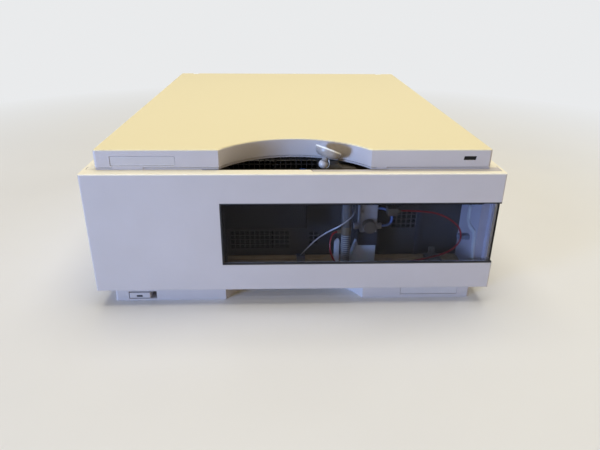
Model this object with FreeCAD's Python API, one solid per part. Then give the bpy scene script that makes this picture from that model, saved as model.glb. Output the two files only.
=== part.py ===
"""Bench-top diode array detector: a low, wide instrument case with its optics, electronics and leak drain.

The frame has +X to the right of someone facing the front, +Y towards the back and +Z up.
The origin is the centre of the footprint, on the bench. Sizes are in millimetres.
Depths named d are counted from the front cover's face, and at() turns them into Y.
"""
import FreeCAD
import Part
import math
import os
from FreeCAD import Vector

# Overall size of the case
width = 345.0
depth = 435.0
height = 140.0

# Material thicknesses and the clearance between separate pieces
plastic = 2.2
sheet = 1.0
gap = 0.3

# Share of the shorter run that an arc of a tube takes up at each of its corners
arc_share = 0.45

# Levels of the case, from the bench up
base_height = 16.0
reveal = 2.1
rail_height = 4.7
lid_thickness = 14.7
base_floor = 2.5

# Plan sizes of the case
body_front = 11.3
base_inset = 11.2
lid_inset = 10.3
cheek_inset = 12.5
cabinet_inset = 18.5
rib_depths = (110.0, 230.0, 350.0)
boss_z = 70.0
boss_r = 4.0
rear_recess = 14.0
panel_rear_gap = 5.0
lid_edge_round = 1.3
corner_round = 2.5
lid_flange = 10.0
skirt_inset = 0.7
skirt_wall = 2.2
lid_groove = 0.7
lid_groove_depth = 1.3
lid_rib_x = 60.0
lid_rib_front = 90.0
spacer_left_in = 14.3
spacer_left_width = 24.3
spacer_right_x = 67.3
spacer_right_width = 8.0

# The concave bay in the front of the top cover and of the base
arch_half = 62.3
arch_rise = 35.5

# Front cover and its window
cover_return = 19.5
ledge_left = 11.0
ledge_right = 6.5
ledge_step = 14.0
notch_front_x = 14.2
notch_back_x = 12.8
cover_side_ledge = 13.3
bottom_ledge = 9.0
cover_round = 1.4
window_left = -62.4
window_rise = 24.8
window_drop = 25.2
window_wrap = 16.0
window_recess = 1.0
pane = 2.0
seal_width = 1.3
seal_depth = 1.6
seal_proud = 0.5

# Side release buttons of the front cover
release_size = 8.0
release_d = 12.0
release_z = 30.0
release_flange = 1.5
release_travel = 2.5
release_clear = 0.3
release_sunk = 0.2

# Plates and lights on the case
name_plate_in = 12.8
name_plate_width = 52.3
name_plate_rise = 1.3
name_plate_height = 8.2
plate_pocket = 0.8
plate_thickness = 0.5
plate_corner = 2.0
serial_in = 11.7
serial_width = 52.7
serial_bottom = 3.1
serial_height = 9.6
status_in = 13.0
status_width = 10.8
status_rise = 5.8
status_height = 3.3
status_lean = 0.6
status_setback = 0.4
status_stem = 7.0
clip_width = 9.0
clip_in = 22.5
clip_depth = 3.0
clip_inset = 3.0
clip_drop = 2.2
clip_proud = 0.4

# Power button, and the long light pipe that works the switch at the back
button_in = 12.3
button_width = 19.0
button_bottom = 1.8
button_height = 5.8
button_length = 12.0
bay_right_room = 5.6
bay_top_room = 1.4
bay_depth = 20.0
button_round = 1.0
pipe_setback = 0.6
plunger_length = 4.0
plunger_r = 2.0
tab_length = 3.0
button_travel = 3.0
pipe_width = 5.1
pipe_offset = 6.6
pipe_bottom = 3.3
pipe_height = 1.9
rod_tab_top = 29.0

# Front compartment
wall_d = 58.0
grid_pitch = 4.75
grid_web = 0.8
pan_floor = 1.6
pan_rim = 3.4
pan_front = 12.0
hood_thickness = 1.5
hood_left = 26.0
rail_depth = 4.3
rail_shelf = 16.0
rail_seam = 0.7
arch_grid_left = -59.6
arch_grid_columns = 17
arch_grid_rows = 3
arch_grid_margin = 0.25
left_grid_left = -61.0
left_grid_columns = 12
left_grid_bottom = 28.2
left_grid_rows = 4
middle_grid_left = 14.6
middle_grid_columns = 2
middle_grid_bottom = 32.0
middle_grid_rows = 3
right_grid_left = 93.8
right_grid_columns = 5
right_grid_bottom = 48.9
right_grid_rows = 4
lamp_cover_d = 40.0
lamp_cover_right = 12.0
lamp_cover_bottom = 56.5
lamp_cover_drop = 13.0
lamp_cover_round = 2.0
cap_x = 8.0
cap_d = 46.0
cap_r = 4.8
cap_height = 8.6
cap_dome_share = 0.7

# Leak funnel, drain and sensor
funnel_r = 11.4
funnel_bowl = 7.4
funnel_shape = ((0.60, 0.06), (0.82, 0.26), (0.93, 0.50), (0.98, 0.74))
funnel_wall = 1.0
funnel_x = 28.6
funnel_d = 28.0
funnel_drop = 4.2
funnel_reach = 13.2
knuckle_r = 3.9
neck_r = 2.6
funnel_lean = 21.5
funnel_back = 16.0
neck_bore = 1.2
holder_left = 27.0
holder_right = 43.0
holder_slope = 6.0
holder_grip = 3.5
holder_wall = 1.4
holder_before = 4.0
holder_behind = 2.0
holder_lean = 1.0
holder_foot = 1.6
drain_x = 47.2
drain_d = 33.0
drain_r = 4.3
riser_r = 4.7
riser_drop = 9.0
coupling_bottom = 55.4
coupling_height = 7.6
hose_pitch = 2.0
hose_groove = 0.7
hose_wave = (0.5, 0.65, 0.85)
tube_wall = 0.8
port_r = 1.6
port_length = 3.2
ramp_foot = 52.1
ramp_top = 58.9
strip_left = 33.0
strip_width = 6.0
strip_front_top = 50.0
strip_back_top = 37.0
sensor_in = 18.0
sensor_width = 14.0
sensor_depth = 14.4
sensor_height = 5.0
sensor_stem_in = 4.0
sensor_stem_depth = 2.4
sensor_stem_height = 12.0
bead_r = 1.6
bead_length = 5.0
bead_rise = 2.2

# Flow cell and its fittings
cell_left = 61.2
cell_width = 15.8
cell_bottom = 52.0
cell_height = 34.0
cell_round = 0.8
cell_face = 42.0
cell_base_height = 13.2
base_lip = 0.8
cell_core_width = 10.0
cell_core_height = 26.0
cell_bore_r = 2.5
cell_behind_beam = 15.0
groove_depth = 3.0
groove_rise = 6.0
groove_width = 4.0
fitting_d = 48.0
fitting_z = 56.0
fitting_r = 3.0
fitting_length = 5.0
knob_r = 5.9
knob_length = 8.2
knob_drop = 8.2
knurl_r = 0.5
knurl_count = 20
knurl_share = 0.8
knob_round = 0.6
screw_r = 2.0
screw_clear = 0.06
screw_length = 12.0
beam_d = 100.0
beam_z = 62.0
beam_r = 5.0
union_left = 84.6
union_width = 9.0
union_bottom = 71.7
union_height = 7.0
union_d = 34.0
union_port_z = 75.2
capillary_r = 0.8
red_past_union = 14.0
red_by_clip = ((-19.8, 6.0, 23.4), (-4.8, 1.0, 15.0), (0.0, 0.0, 6.6), (0.0, 0.0, -3.0),
               (-8.8, -1.0, -12.4), (-27.8, -1.0, -18.6), (-53.8, 0.0, -24.0))
red_by_drain = ((26.8, -7.0, 6.6), (6.8, -9.0, 5.0), (-8.7, -9.0, 10.0), (-15.0, -7.0, 22.4),
                (-14.6, -3.0, 33.0))
red_before_port = 3.7
blue_by_cell = ((0.0, 0.0, 0.0), (6.0, 0.0, 0.0), (10.0, -2.0, 6.6), (7.6, -3.0, 13.8), (1.6, -3.0, 19.2),
                (-5.0, -3.0, 19.2))
steel_by_cell = ((-54.2, 52.0, 6.4), (-49.2, 45.0, 16.4), (-40.2, 36.0, 31.4), (-30.2, 26.0, 43.4),
                 (-20.2, 21.0, 51.0), (-6.7, 27.0, 59.8), (-6.2, 46.0, 62.8), (0.0, 46.0, 62.8))
blue_tube_r = 1.1
steel_tube_r = 0.6
clip_reach = 8.2
clip_d = 28.0
clip_z = 51.0
clip_height = 4.0
clip_wall = 1.4
clip_play = 0.5
clip_depth_behind = 5.0
post_x = 3.0
post_width = 8.0
post_d = 50.0
steel_rise = 6.4
nut_r = 2.2
nut_length = 3.0
union_arm_in = 2.8

# Lamps and lamp housing
lamp_box_in = 3.0
lamp_box_width = 80.0
lamp_box_depth = 78.0
lamp_box_bottom = 30.0
lamp_box_height = 68.0
uv_in = 55.0
uv_r = 15.0
vis_in = 18.0
vis_r = 9.0
lamp_flange = 3.0
fin_count = 9
fin_length = 14.0
fin_share = 0.4
lamp_length = 56.0
lamp_plug = 8.0
lamp_plug_share = 0.6
lamp_window_r = 3.5

# Optical unit
bench_left = -20.0
bench_in = 6.0
bench_front_d = 66.0
bench_back_d = 190.0
bench_bottom = 24.0
bench_height = 64.0
bench_wall = 5.0
bench_lid = 4.0
damper_r = 7.0
damper_in = 14.0
damper_waist = 0.75
lens_r = 9.0
lens_length = 30.0
lens_stand = 6.0
lens_collar = 3.0
lens_collar_step = 2.0
lens_glass = 4.0
slit_x = 98.0
slit_plate_thickness = 2.0
slit_plate_half = 12.0
slit_foot = 10.0
slit_foot_height = 3.0
slit_width = 1.0
slit_height = 6.0
grating_in = 10.0
grating_r = 13.0
grating_thickness = 5.0
grating_mount = 4.0
cell_seat_front = 8.0
motor_seat_in = 2.0
array_width = 36.0
array_x = 104.0
array_d = 132.0
array_board_above = 20.0
array_end = 2.0
array_stand = 1.0
array_thickness = 3.0
array_half_height = 6.0
array_window_end = 4.0
array_window_half = 2.0
array_window_depth = 0.8
pin_pitch = 5.0
pin_size = 0.6
pin_row_in = 1.0
flag_swing = 40.0
flag_thickness = 3.0
flag_hub_r = 5.0
flag_arm = 5.0
flag_disc_rim = 2.0
motor_x = 33.0
motor_d = 128.0
motor_z = 50.0
motor_r = 9.0
motor_length = 22.0
motor_bore_end = 4.0

# Electronics, fan and rear panel
board_width = 120.0
board_in = 4.0
board_front_d = 205.0
board_level = 24.0
board_thickness = 1.6
standoff_r = 3.0
standoff_in = 6.0
standoff_front = 8.0
standoff_back = 40.0
supply_in = 1.5
supply_width = 78.0
supply_front_d = 300.0
supply_height = 62.0
supply_vent_in = 10.0
supply_vent_deep = 1.2
supply_vent_height = 3.0
supply_vent_drops = (24.0, 18.0, 12.0)
plunger_below_tab = 1.0
fan_size = 80.0
fan_depth = 25.0
fan_x = -17.0
fan_tip_gap = 1.2
fan_hub_r = 17.0
fan_blades = 7
fan_pitch = 40.0
fan_rim = 2.0
fan_hub_wall = 2.0
strut_half = 2.0
blade_thickness = 1.6
blade_root = 1.5
rotor_gap = 1.0
vent_post = 2.5
vent_margin = 4.0
strut_depth = 4.0
fan_shaft_r = 2.5
duct_length = 20.0
vent_height = 3.8
vent_pitch = 6.4
inlet_socket_width = 28.0
inlet_socket_height = 48.0
inlet_socket_in = 32.5
inlet_socket_z = 50.0
socket_depth = 20.0
socket_cavity = 14.0
socket_flange = 1.6
socket_flange_thick = 2.0
socket_wall = 2.6
socket_roof = 3.0
socket_split = 4.0
fuse_in = 4.0
fuse_proud = 1.4
fuse_foot = 3.0
fuse_split = 5.0
prong_half = 1.0
prong_pitch = 7.0
prong_rise = 6.0
prong_height = 4.0
prong_tip_in = 1.5
connector_row = ((109.0, 31.0, 12.5), (74.0, 36.0, 12.0), (33.0, 9.0, 9.0), (19.0, 9.0, 9.0))
connector_reach = 5.0
connector_length = 18.0
connector_wall = 2.0
connector_mouth = 4.0
lever_in = 58.5
lever_bottom = 44.0
lever_width = 22.0
lever_height = 14.0
lever_travel = 8.0
lever_pin_in = 6.0
lever_pin_r = 2.0
lever_thickness = 2.0
lever_head = 1.5
lever_head_thick = 1.2
lever_grip = 3.0
lever_grip_out = 5.0
lever_grip_set = 0.2
foam_top = 66.0
foam_beam_half = 12.0
foam_plunger_room = 6.0

# Sizes that follow from the ones above
half_width = width / 2
front = -depth / 2
back = depth / 2
base_half = half_width - base_inset
lid_half = half_width - lid_inset
cheek = half_width - cheek_inset
cabinet_half = half_width - cabinet_inset
lid_bottom = height - lid_thickness
shoulder_top = lid_bottom - reveal
cover_top = shoulder_top
cover_bottom = base_height + gap
wall_top = shoulder_top - gap
holder_top = shoulder_top - gap
hood_top = shoulder_top - rail_height
hood_bottom = hood_top - hood_thickness
window_bottom = cover_bottom + window_rise
window_top = cover_top - window_drop
lamp_cover_top = hood_bottom - lamp_cover_drop
funnel_z = height - funnel_drop
riser_top = hood_bottom - riser_drop
name_plate_left = -lid_half + name_plate_in
name_plate_bottom = lid_bottom + name_plate_rise
status_left = lid_half - status_in - status_width
status_bottom = lid_bottom + status_rise
serial_left = base_half - serial_in - serial_width
button_left = -base_half + button_in
clip_x = cheek - clip_reach
lamp_box_left = -cabinet_half + lamp_box_in
uv_x = lamp_box_left + uv_in
vis_x = lamp_box_left + vis_in
bench_right = cabinet_half - bench_in
grating_x = bench_right - grating_in
board_right = cabinet_half - board_in
board_left = board_right - board_width
connector_places = tuple((board_right - far, wide, high) for far, wide, high in connector_row)
sensor_x = cheek - sensor_in - sensor_width
supply_left = -cabinet_half + supply_in
inlet_socket_x = supply_left + inlet_socket_in
lever_left = supply_left + lever_in
arch_r = (arch_half ** 2 + arch_rise ** 2) / (2 * arch_rise)
arch_y = front + body_front + arch_rise - arch_r
rear_y = back - rear_recess
panel_back = back - panel_rear_gap
pan_top = base_height + pan_floor
wall_y = front + wall_d
cell_right = cell_left + cell_width
cell_top = cell_bottom + cell_height
knob_z = cell_bottom + knob_drop
knob_x = cell_left + cell_width / 2
cabinet_floor = base_height + sheet
cabinet_top = hood_bottom
fan_z = (cabinet_floor + cabinet_top - sheet) / 2
beam_y = front + beam_d
lamp_box_right = lamp_box_left + lamp_box_width
supply_top = cabinet_floor + supply_height
supply_right = supply_left + supply_width
button_right = button_left + button_width
pipe_x = button_left + pipe_offset + pipe_width / 2
inner_rear = rear_y - sheet
tab_back = supply_front_d - plunger_length - button_travel - gap
tab_front = tab_back - tab_length
cell_base_bottom = cell_bottom - cell_base_height
hose_bore_r = drain_r - hose_groove - tube_wall
coupling_port_x = drain_x - riser_r - port_length
coupling_port_z = coupling_bottom + port_r
cell_back_d = beam_d + cell_behind_beam
arch_grid_bottom = wall_top - arch_grid_margin - arch_grid_rows * grid_pitch
grid_zones = ((arch_grid_left, arch_grid_columns, arch_grid_bottom, arch_grid_rows),
              (left_grid_left, left_grid_columns, left_grid_bottom, left_grid_rows),
              (middle_grid_left, middle_grid_columns, middle_grid_bottom, middle_grid_rows),
              (right_grid_left, right_grid_columns, right_grid_bottom, right_grid_rows))


def at(d):
    """Y of a depth behind the front cover's face."""
    return front + d


def box(x0, x1, y0, y1, z0, z1):
    return Part.makeBox(x1 - x0, y1 - y0, z1 - z0, Vector(x0, y0, z0))


def rod(centre, direction, r, length):
    return Part.makeCylinder(r, length, Vector(*centre), Vector(*direction))


def joined(*shapes):
    solid = shapes[0].fuse(list(shapes[1:])) if len(shapes) > 1 else shapes[0]
    return solid.removeSplitter()


def less(shape, *tools):
    return shape.cut(list(tools)).removeSplitter()


def prism(points, y0, y1):
    """A solid whose outline is given in X and Z, drawn from y0 to y1."""
    wire = Part.makePolygon([Vector(x, y0, z) for x, z in points + points[:1]])
    return Part.Face(wire).extrude(Vector(0, y1 - y0, 0))


def along_x(points, x0, x1):
    """A solid whose outline is given in Y and Z, drawn from x0 to x1."""
    wire = Part.makePolygon([Vector(x0, y, z) for y, z in points + points[:1]])
    return Part.Face(wire).extrude(Vector(x1 - x0, 0, 0))


def turned(profile, base, direction):
    """A solid of revolution from (radius, distance) points, set with its axis along direction."""
    wire = Part.makePolygon([Vector(r, 0, h) for r, h in profile + profile[:1]])
    solid = Part.Face(wire).revolve(Vector(0, 0, 0), Vector(0, 0, 1), 360)
    solid.Placement = FreeCAD.Placement(
        Vector(*base), FreeCAD.Rotation(Vector(0, 0, 1), Vector(*direction)))
    return solid


def tube(name, points, r):
    """A round tube along straight runs joined by tangent arcs, each as large as its runs allow."""
    route = [Vector(*p) for p in points]
    edges = []
    radii = []
    last = route[0]
    for before, corner, after in zip(route, route[1:], route[2:]):
        along_in = (corner - before).normalize()
        along_out = (after - corner).normalize()
        turn = along_in.getAngle(along_out)
        reach = arc_share * min((corner - before).Length, (after - corner).Length)
        radius = reach / math.tan(turn / 2)
        radii.append(round(radius, 1))
        start = corner - along_in * reach
        end = corner + along_out * reach
        inward = (along_out - along_in).normalize()
        middle = corner + inward * (radius / math.cos(turn / 2) - radius)
        edges.append(Part.LineSegment(last, start).toShape())
        edges.append(Part.Arc(start, middle, end).toShape())
        last = end
    edges.append(Part.LineSegment(last, route[-1]).toShape())
    path = Part.Wire(edges)
    first = (route[1] - route[0]).normalize()
    ring = Part.Wire(Part.Circle(route[0], first, r).toShape())
    solid = path.makePipeShell([ring], True, False)
    print(f"{name}: length {path.Length:.1f}, radii {radii}")
    print(f"{name}: volume {solid.Volume:.2f}, section times length {math.pi * r * r * path.Length:.2f}")
    return solid


def arch_prism(x_half, y_front, y_back, inset, z0, z1):
    """The plan outline with the concave bay in its front edge, shrunk by inset and raised from z0 to z1."""
    r = arch_r + inset
    y0 = y_front + inset
    y1 = y_back - inset
    x1 = x_half - inset
    chord = math.sqrt(r * r - (y0 - arch_y) ** 2)
    corners = [Vector(-chord, y0, z0), Vector(chord, y0, z0), Vector(x1, y0, z0),
               Vector(x1, y1, z0), Vector(-x1, y1, z0), Vector(-x1, y0, z0)]
    edges = [Part.Arc(corners[0], Vector(0, arch_y + r, z0), corners[1]).toShape()]
    for a, b in zip(corners[1:], corners[2:] + corners[:1]):
        edges.append(Part.LineSegment(a, b).toShape())
    return Part.Face(Part.Wire(edges)).extrude(Vector(0, 0, z1 - z0))


def edges_at(shape, axis, value):
    """Edges that lie wholly at one value of x, y or z."""
    low = axis + "Min"
    high = axis + "Max"
    return [e for e in shape.Edges
            if abs(getattr(e.BoundBox, low) - value) < 0.01
            and abs(getattr(e.BoundBox, high) - value) < 0.01]


def upright_corners(shape, x_half):
    """The upright edges at the outer corners of an outline."""
    return [e for e in shape.Edges
            if e.BoundBox.ZLength > 1 and e.BoundBox.XLength < 0.01
            and abs(abs(e.BoundBox.XMin) - x_half) < 0.01]


def mirrored(shape):
    return shape.mirror(Vector(0, 0, 0), Vector(1, 0, 0))


def both_sides(shape):
    """A right-hand feature together with its mirror image."""
    return [shape, mirrored(shape)]


def base_housing():
    """Moulded tray under the cabinet, with the concave bay and the recess of the power button."""
    shell = arch_prism(base_half, at(body_front), panel_back, 0, 0, base_height)
    shell = shell.makeFillet(corner_round, upright_corners(shell, base_half))
    room = arch_prism(base_half, at(body_front), panel_back, plastic, base_floor, base_height + 1)
    bay_back = at(body_front + bay_depth)
    bay_top = button_bottom + button_height + bay_top_room
    bay_right = button_right + bay_right_room
    bay_left = button_left - gap
    bay_floor = button_bottom - gap
    walls = box(bay_left - plastic, bay_right + plastic, at(body_front), bay_back + plastic, 0,
                bay_top + plastic)
    bay = box(bay_left, bay_right, at(body_front) - 1, bay_back, bay_floor, bay_top)
    hole = box(pipe_x - pipe_width / 2 - gap, pipe_x + pipe_width / 2 + gap, bay_back - 1,
               bay_back + plastic + 1, pipe_bottom - gap, pipe_bottom + pipe_height + gap)
    plate = box(serial_left, serial_left + serial_width, at(body_front) - 1, at(body_front) + plate_pocket,
                serial_bottom, serial_bottom + serial_height)
    ribs = [box(-base_half + plastic, base_half - plastic, at(d), at(d) + plastic, base_floor, base_height)
            for d in rib_depths]
    pipe_room = box(pipe_x - pipe_width / 2 - gap, pipe_x + pipe_width / 2 + gap, bay_back + plastic,
                    panel_back - plastic, base_floor, pipe_bottom + pipe_height + gap)
    tab_room = box(pipe_x - pipe_width / 2 - gap, pipe_x + pipe_width / 2 + gap, at(tab_front) - gap,
                   at(tab_back) + button_travel + gap, base_floor, base_height + 1)
    return less(joined(less(shell, room), walls, *ribs), bay, hole, plate, pipe_room, tab_room)


def power_button():
    y0 = at(body_front)
    key = box(button_left, button_right, y0, y0 + button_length, button_bottom, button_bottom + button_height)
    key = key.makeFillet(button_round, edges_at(key, "Y", y0))
    half = pipe_width / 2
    slot = box(pipe_x - half, pipe_x + half, y0 - 1, y0 + button_length + 1, pipe_bottom,
               pipe_bottom + pipe_height)
    return less(key, slot)


def power_light_pipe():
    """Clear rod that carries light to the button, and carries its push to the switch."""
    half = pipe_width / 2
    rail = box(pipe_x - half, pipe_x + half, at(body_front) + pipe_setback, at(tab_back),
               pipe_bottom, pipe_bottom + pipe_height)
    tab = box(pipe_x - half, pipe_x + half, at(tab_front), at(tab_back), pipe_bottom, rod_tab_top)
    return joined(rail, tab)


def side_panel_right(flange_d):
    """Outer skin of one side: the shoulder on top, and the white cheek beside the compartment."""
    inner = half_width - window_recess - pane - gap
    block_top = hood_bottom + hood_thickness
    outer = box(half_width - plastic, half_width, at(cover_return) + gap, panel_back, base_height,
                shoulder_top)
    step = box(inner - plastic, half_width, at(cover_return) + gap, at(cover_return) + gap + plastic,
               base_height, shoulder_top)
    inset = box(inner - plastic, inner, at(ledge_right) + gap, at(cover_return) + gap, base_height, block_top)
    closing = box(cheek, inner, at(pan_front), at(pan_front) + plastic, base_height, block_top)
    wall = box(cheek, cheek + plastic, at(pan_front), wall_y, base_height, block_top)
    wall_crown = box(cheek, cheek + plastic, at(flange_d), wall_y, block_top, shoulder_top)
    flange = box(cabinet_half + sheet + gap, half_width - plastic - gap, at(flange_d), at(cover_return) + 1,
                 shoulder_top - plastic, shoulder_top)
    flange_rear = box(cabinet_half + sheet + gap, half_width, at(cover_return) + gap, panel_back,
                      shoulder_top - plastic, shoulder_top)
    sole = box(cabinet_half, half_width, wall_y + sheet, panel_back, base_height, base_height + plastic)
    sole_front = box(cheek, half_width, at(cover_return) + gap, wall_y, base_height, base_height + plastic)
    rear = box(cabinet_half, half_width, panel_back - plastic, panel_back, base_height, shoulder_top)
    bosses = [rod((cabinet_half, at(d), boss_z), (1, 0, 0), boss_r,
                  half_width - plastic - cabinet_half)
              for d in rib_depths]
    button_room = half_width - plastic - release_flange - release_travel - 3 * gap
    throat = box(button_room, inner + 1, at(ledge_right), at(release_d) + release_size,
                 release_z - release_size, release_z + release_size)
    ledge_room = box(cheek - 1, inner + 1, at(ledge_right), at(bottom_ledge) + gap, base_height - 1,
                     cover_bottom + plastic + gap)
    return less(joined(outer, step, inset, closing, wall, wall_crown, flange, flange_rear, sole,
                       sole_front, rear, *bosses), throat, ledge_room)


def top_cover():
    """Moulded lid: a thin rim over a set-back skirt, hollow underneath, with two ribs that rest below."""
    y0 = at(body_front)
    rim = arch_prism(lid_half, y0, back, 0, lid_bottom, height)
    rim = rim.makeFillet(corner_round, upright_corners(rim, lid_half))
    rim = rim.makeFillet(lid_edge_round, edges_at(rim, "Z", height))
    skirt = arch_prism(lid_half, y0, back, skirt_inset, shoulder_top, lid_bottom + 1)
    band = arch_prism(lid_half, y0, back, -1, lid_bottom - lid_groove, lid_bottom)
    core = arch_prism(lid_half, y0, back, skirt_inset + lid_groove_depth, lid_bottom - lid_groove, lid_bottom)
    low = arch_prism(lid_half, y0, back, skirt_inset + skirt_wall, shoulder_top - 1, lid_bottom + plastic)
    high = arch_prism(lid_half, y0, back, plastic, lid_bottom + plastic, height - plastic)
    tabs = [box(x, x + wide, y0 + gap, y0 + skirt_inset + 1, shoulder_top + gap, lid_bottom + 1)
            for x, wide in ((spacer_left_in - lid_half, spacer_left_width),
                            (spacer_right_x, spacer_right_width))]
    plate = plate_shape(y0 - 1, y0 + plate_pocket, name_plate_left, name_plate_width,
                        name_plate_bottom, name_plate_height)
    light = status_prism(y0 - 1, y0 + plastic + 1, 0)
    clips = [box(x - clip_width / 2, x + clip_width / 2, back - clip_inset - clip_depth, back - clip_inset,
                 height - plastic - 1, height + 1) for x in (clip_in - lid_half, lid_half - clip_in)]
    ribs = [box(x, x + plastic, at(lid_rib_front), back - lid_rib_front, cabinet_top, height - plastic)
            for x in (-lid_rib_x - plastic, lid_rib_x)]
    shell = less(joined(rim, less(skirt, less(band, core))), low, high)
    return less(joined(shell, *tabs, *ribs), plate, light, *clips)


def plate_shape(y0, y1, left, wide, bottom, high):
    """A label plate with two rounded corners at its right-hand end."""
    plate = box(left, left + wide, y0, y1, bottom, bottom + high)
    ends = [e for e in plate.Edges if e.BoundBox.YLength > 0.1 and e.BoundBox.XLength < 0.01
            and e.BoundBox.ZLength < 0.01 and abs(e.BoundBox.XMin - left - wide) < 0.01]
    return plate.makeFillet(plate_corner, ends)


def name_plate():
    y0 = at(body_front)
    return plate_shape(y0 + plate_pocket - plate_thickness, y0 + plate_pocket, name_plate_left + gap,
                       name_plate_width - 2 * gap, name_plate_bottom + gap, name_plate_height - 2 * gap)


def serial_plate():
    y0 = at(body_front)
    return box(serial_left + gap, serial_left + serial_width - gap, y0 + plate_pocket - plate_thickness,
               y0 + plate_pocket, serial_bottom + gap, serial_bottom + serial_height - gap)


def status_prism(y0, y1, inset):
    """The status window's outline, whose two ends lean the same way."""
    low = status_bottom + inset
    high = status_bottom + status_height - inset
    left = status_left + inset
    right = status_left + status_width - inset
    return prism([(left, low), (right - status_lean, low), (right, high), (left + status_lean, high)], y0, y1)


def status_light_pipe():
    y0 = at(body_front)
    lens = status_prism(y0 + status_setback, y0 + plastic, 0)
    stem = box(status_left + status_lean, status_left + status_width - status_lean, y0 + plastic,
               y0 + status_stem, status_bottom, status_bottom + status_height)
    return joined(lens, stem)


def top_cover_clips():
    """Two glossy catches let into the rear edge of the lid."""
    solids = []
    for x in (clip_in - lid_half, lid_half - clip_in):
        catch = box(x - clip_width / 2, x + clip_width / 2, back - clip_inset - clip_depth, back - clip_inset,
                    height - clip_drop, height + clip_proud)
        solids.append(catch.makeFillet(clip_proud, edges_at(catch, "Z", height + clip_proud)))
    return Part.makeCompound(solids)


def front_cover():
    """Lift-off front with a tinted window: face, side returns, and a ledge that hides the compartment."""
    inside = half_width - plastic
    block = box(-half_width, half_width, front, at(cover_return), cover_bottom, cover_top)
    rounded = edges_at(block, "Y", front)
    block = block.makeFillet(cover_round, rounded)
    room = box(-inside, inside, front + plastic, at(cover_return) + 1, cover_bottom + plastic,
               cover_top - plastic)
    step_x = -arch_half - ledge_step
    top_left = plan_prism([(-inside, at(cover_side_ledge)), (step_x, at(cover_side_ledge)),
                           (step_x, at(ledge_left)), (notch_back_x, at(ledge_left)),
                           (notch_front_x, at(ledge_right)), (inside, at(ledge_right)),
                           (inside, at(cover_return) + 1), (-inside, at(cover_return) + 1)],
                          cover_top - plastic - 1, cover_top + 1)
    below = box(-inside, inside, at(bottom_ledge), at(cover_return) + 1, cover_bottom - 1,
                cover_bottom + plastic + 1)
    view = box(window_left, half_width + 1, front - 1, front + plastic + 1, window_bottom, window_top)
    side = box(inside - 1, half_width + 1, front - 1, at(window_wrap), window_bottom, window_top)
    holes = both_sides(rod((inside - 1, at(release_d), release_z), (1, 0, 0),
                           release_size / 2 + release_clear, plastic + 2))
    return less(block, room, top_left, below, view, side, *holes)


def plan_prism(points, z0, z1):
    """A solid whose outline is given in X and Y, raised from z0 to z1."""
    wire = Part.makePolygon([Vector(x, y, z0) for x, y in points + points[:1]])
    return Part.Face(wire).extrude(Vector(0, 0, z1 - z0))


def front_window():
    """Tinted pane that fills the opening and turns the corner on to the side."""
    outer = half_width - window_recess
    left = window_left + seal_width
    low = window_bottom + seal_width
    high = window_top - seal_width
    y0 = front + window_recess
    block = box(left, outer, y0, at(window_wrap) - seal_width, low, high)
    corner = [e for e in block.Edges if e.BoundBox.ZLength > 1 and abs(e.BoundBox.XMin - outer) < 0.01
              and abs(e.BoundBox.YMin - y0) < 0.01]
    block = block.makeFillet(pane, corner)
    return less(block, box(left - 1, outer - pane, y0 + pane, at(window_wrap) + 1, low - 1, high + 1))


def window_seal():
    """Black frame between the pane and the edges of the opening."""
    y0 = front + window_recess - seal_proud
    side = half_width - window_recess + seal_proud
    full = box(window_left, side, y0, at(window_wrap), window_bottom, window_top)
    hollow = box(window_left - 1, side - seal_depth, y0 + seal_depth, at(window_wrap) + 1,
                 window_bottom - 1, window_top + 1)
    frame = box(window_left + seal_width, half_width, front, at(window_wrap) - seal_width,
                window_bottom + seal_width, window_top - seal_width)
    return less(full, hollow, frame)


def release_button_right():
    """Round catch that is pressed in to let the front cover go."""
    head = rod((half_width - plastic, at(release_d), release_z), (1, 0, 0), release_size / 2,
               plastic - release_sunk)
    flange = rod((half_width - plastic - gap - release_flange, at(release_d), release_z), (1, 0, 0),
                 release_size / 2 + release_flange, release_flange)
    stem = rod((half_width - plastic - gap - release_flange / 2, at(release_d), release_z), (1, 0, 0),
               release_size / 2 - release_clear, gap + release_flange)
    return joined(head, flange, stem)


def front_rail():
    """Strip of the body that closes the top behind the cover, and carries the front of the lid."""
    right = half_width - plastic - gap
    y0 = at(ledge_right) + rail_seam
    y1 = at(ledge_right) + gap + rail_depth
    return plan_prism([(notch_front_x + rail_seam, y0), (right, y0), (right, at(rail_shelf)),
                       (arch_half + ledge_step, at(rail_shelf)), (arch_half + ledge_step, y1),
                       (notch_back_x + rail_seam, y1)], hood_top, shoulder_top)


def compartment_hood():
    """Dark sheet over the right of the compartment, with a lip against the wall behind."""
    plate = box(hood_left, cheek, at(ledge_right) + gap, wall_y, hood_bottom, hood_top)
    lip = box(hood_left, cabinet_half, wall_y - hood_thickness, wall_y, hood_top, wall_top)
    spout = rod((drain_x, at(drain_d), hood_bottom - 1), (0, 0, 1), riser_r + holder_wall,
                hood_thickness + 2)
    return less(joined(plate, lip), spout)


def grid(x0, columns, z0, rows):
    """Faces of a field of square holes, on the front of the compartment's wall."""
    side = grid_pitch - grid_web
    faces = []
    for i in range(columns):
        for j in range(rows):
            left = x0 + i * grid_pitch + grid_web / 2
            low = z0 + j * grid_pitch + grid_web / 2
            corners = [(left, low), (left + side, low), (left + side, low + side), (left, low + side)]
            faces.append([Vector(x, wall_y, z) for x, z in corners])
    return faces


def circle_points(x, z, r):
    return Part.Wire(Part.Circle(Vector(x, wall_y, z), Vector(0, 1, 0), r).toShape())


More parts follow.
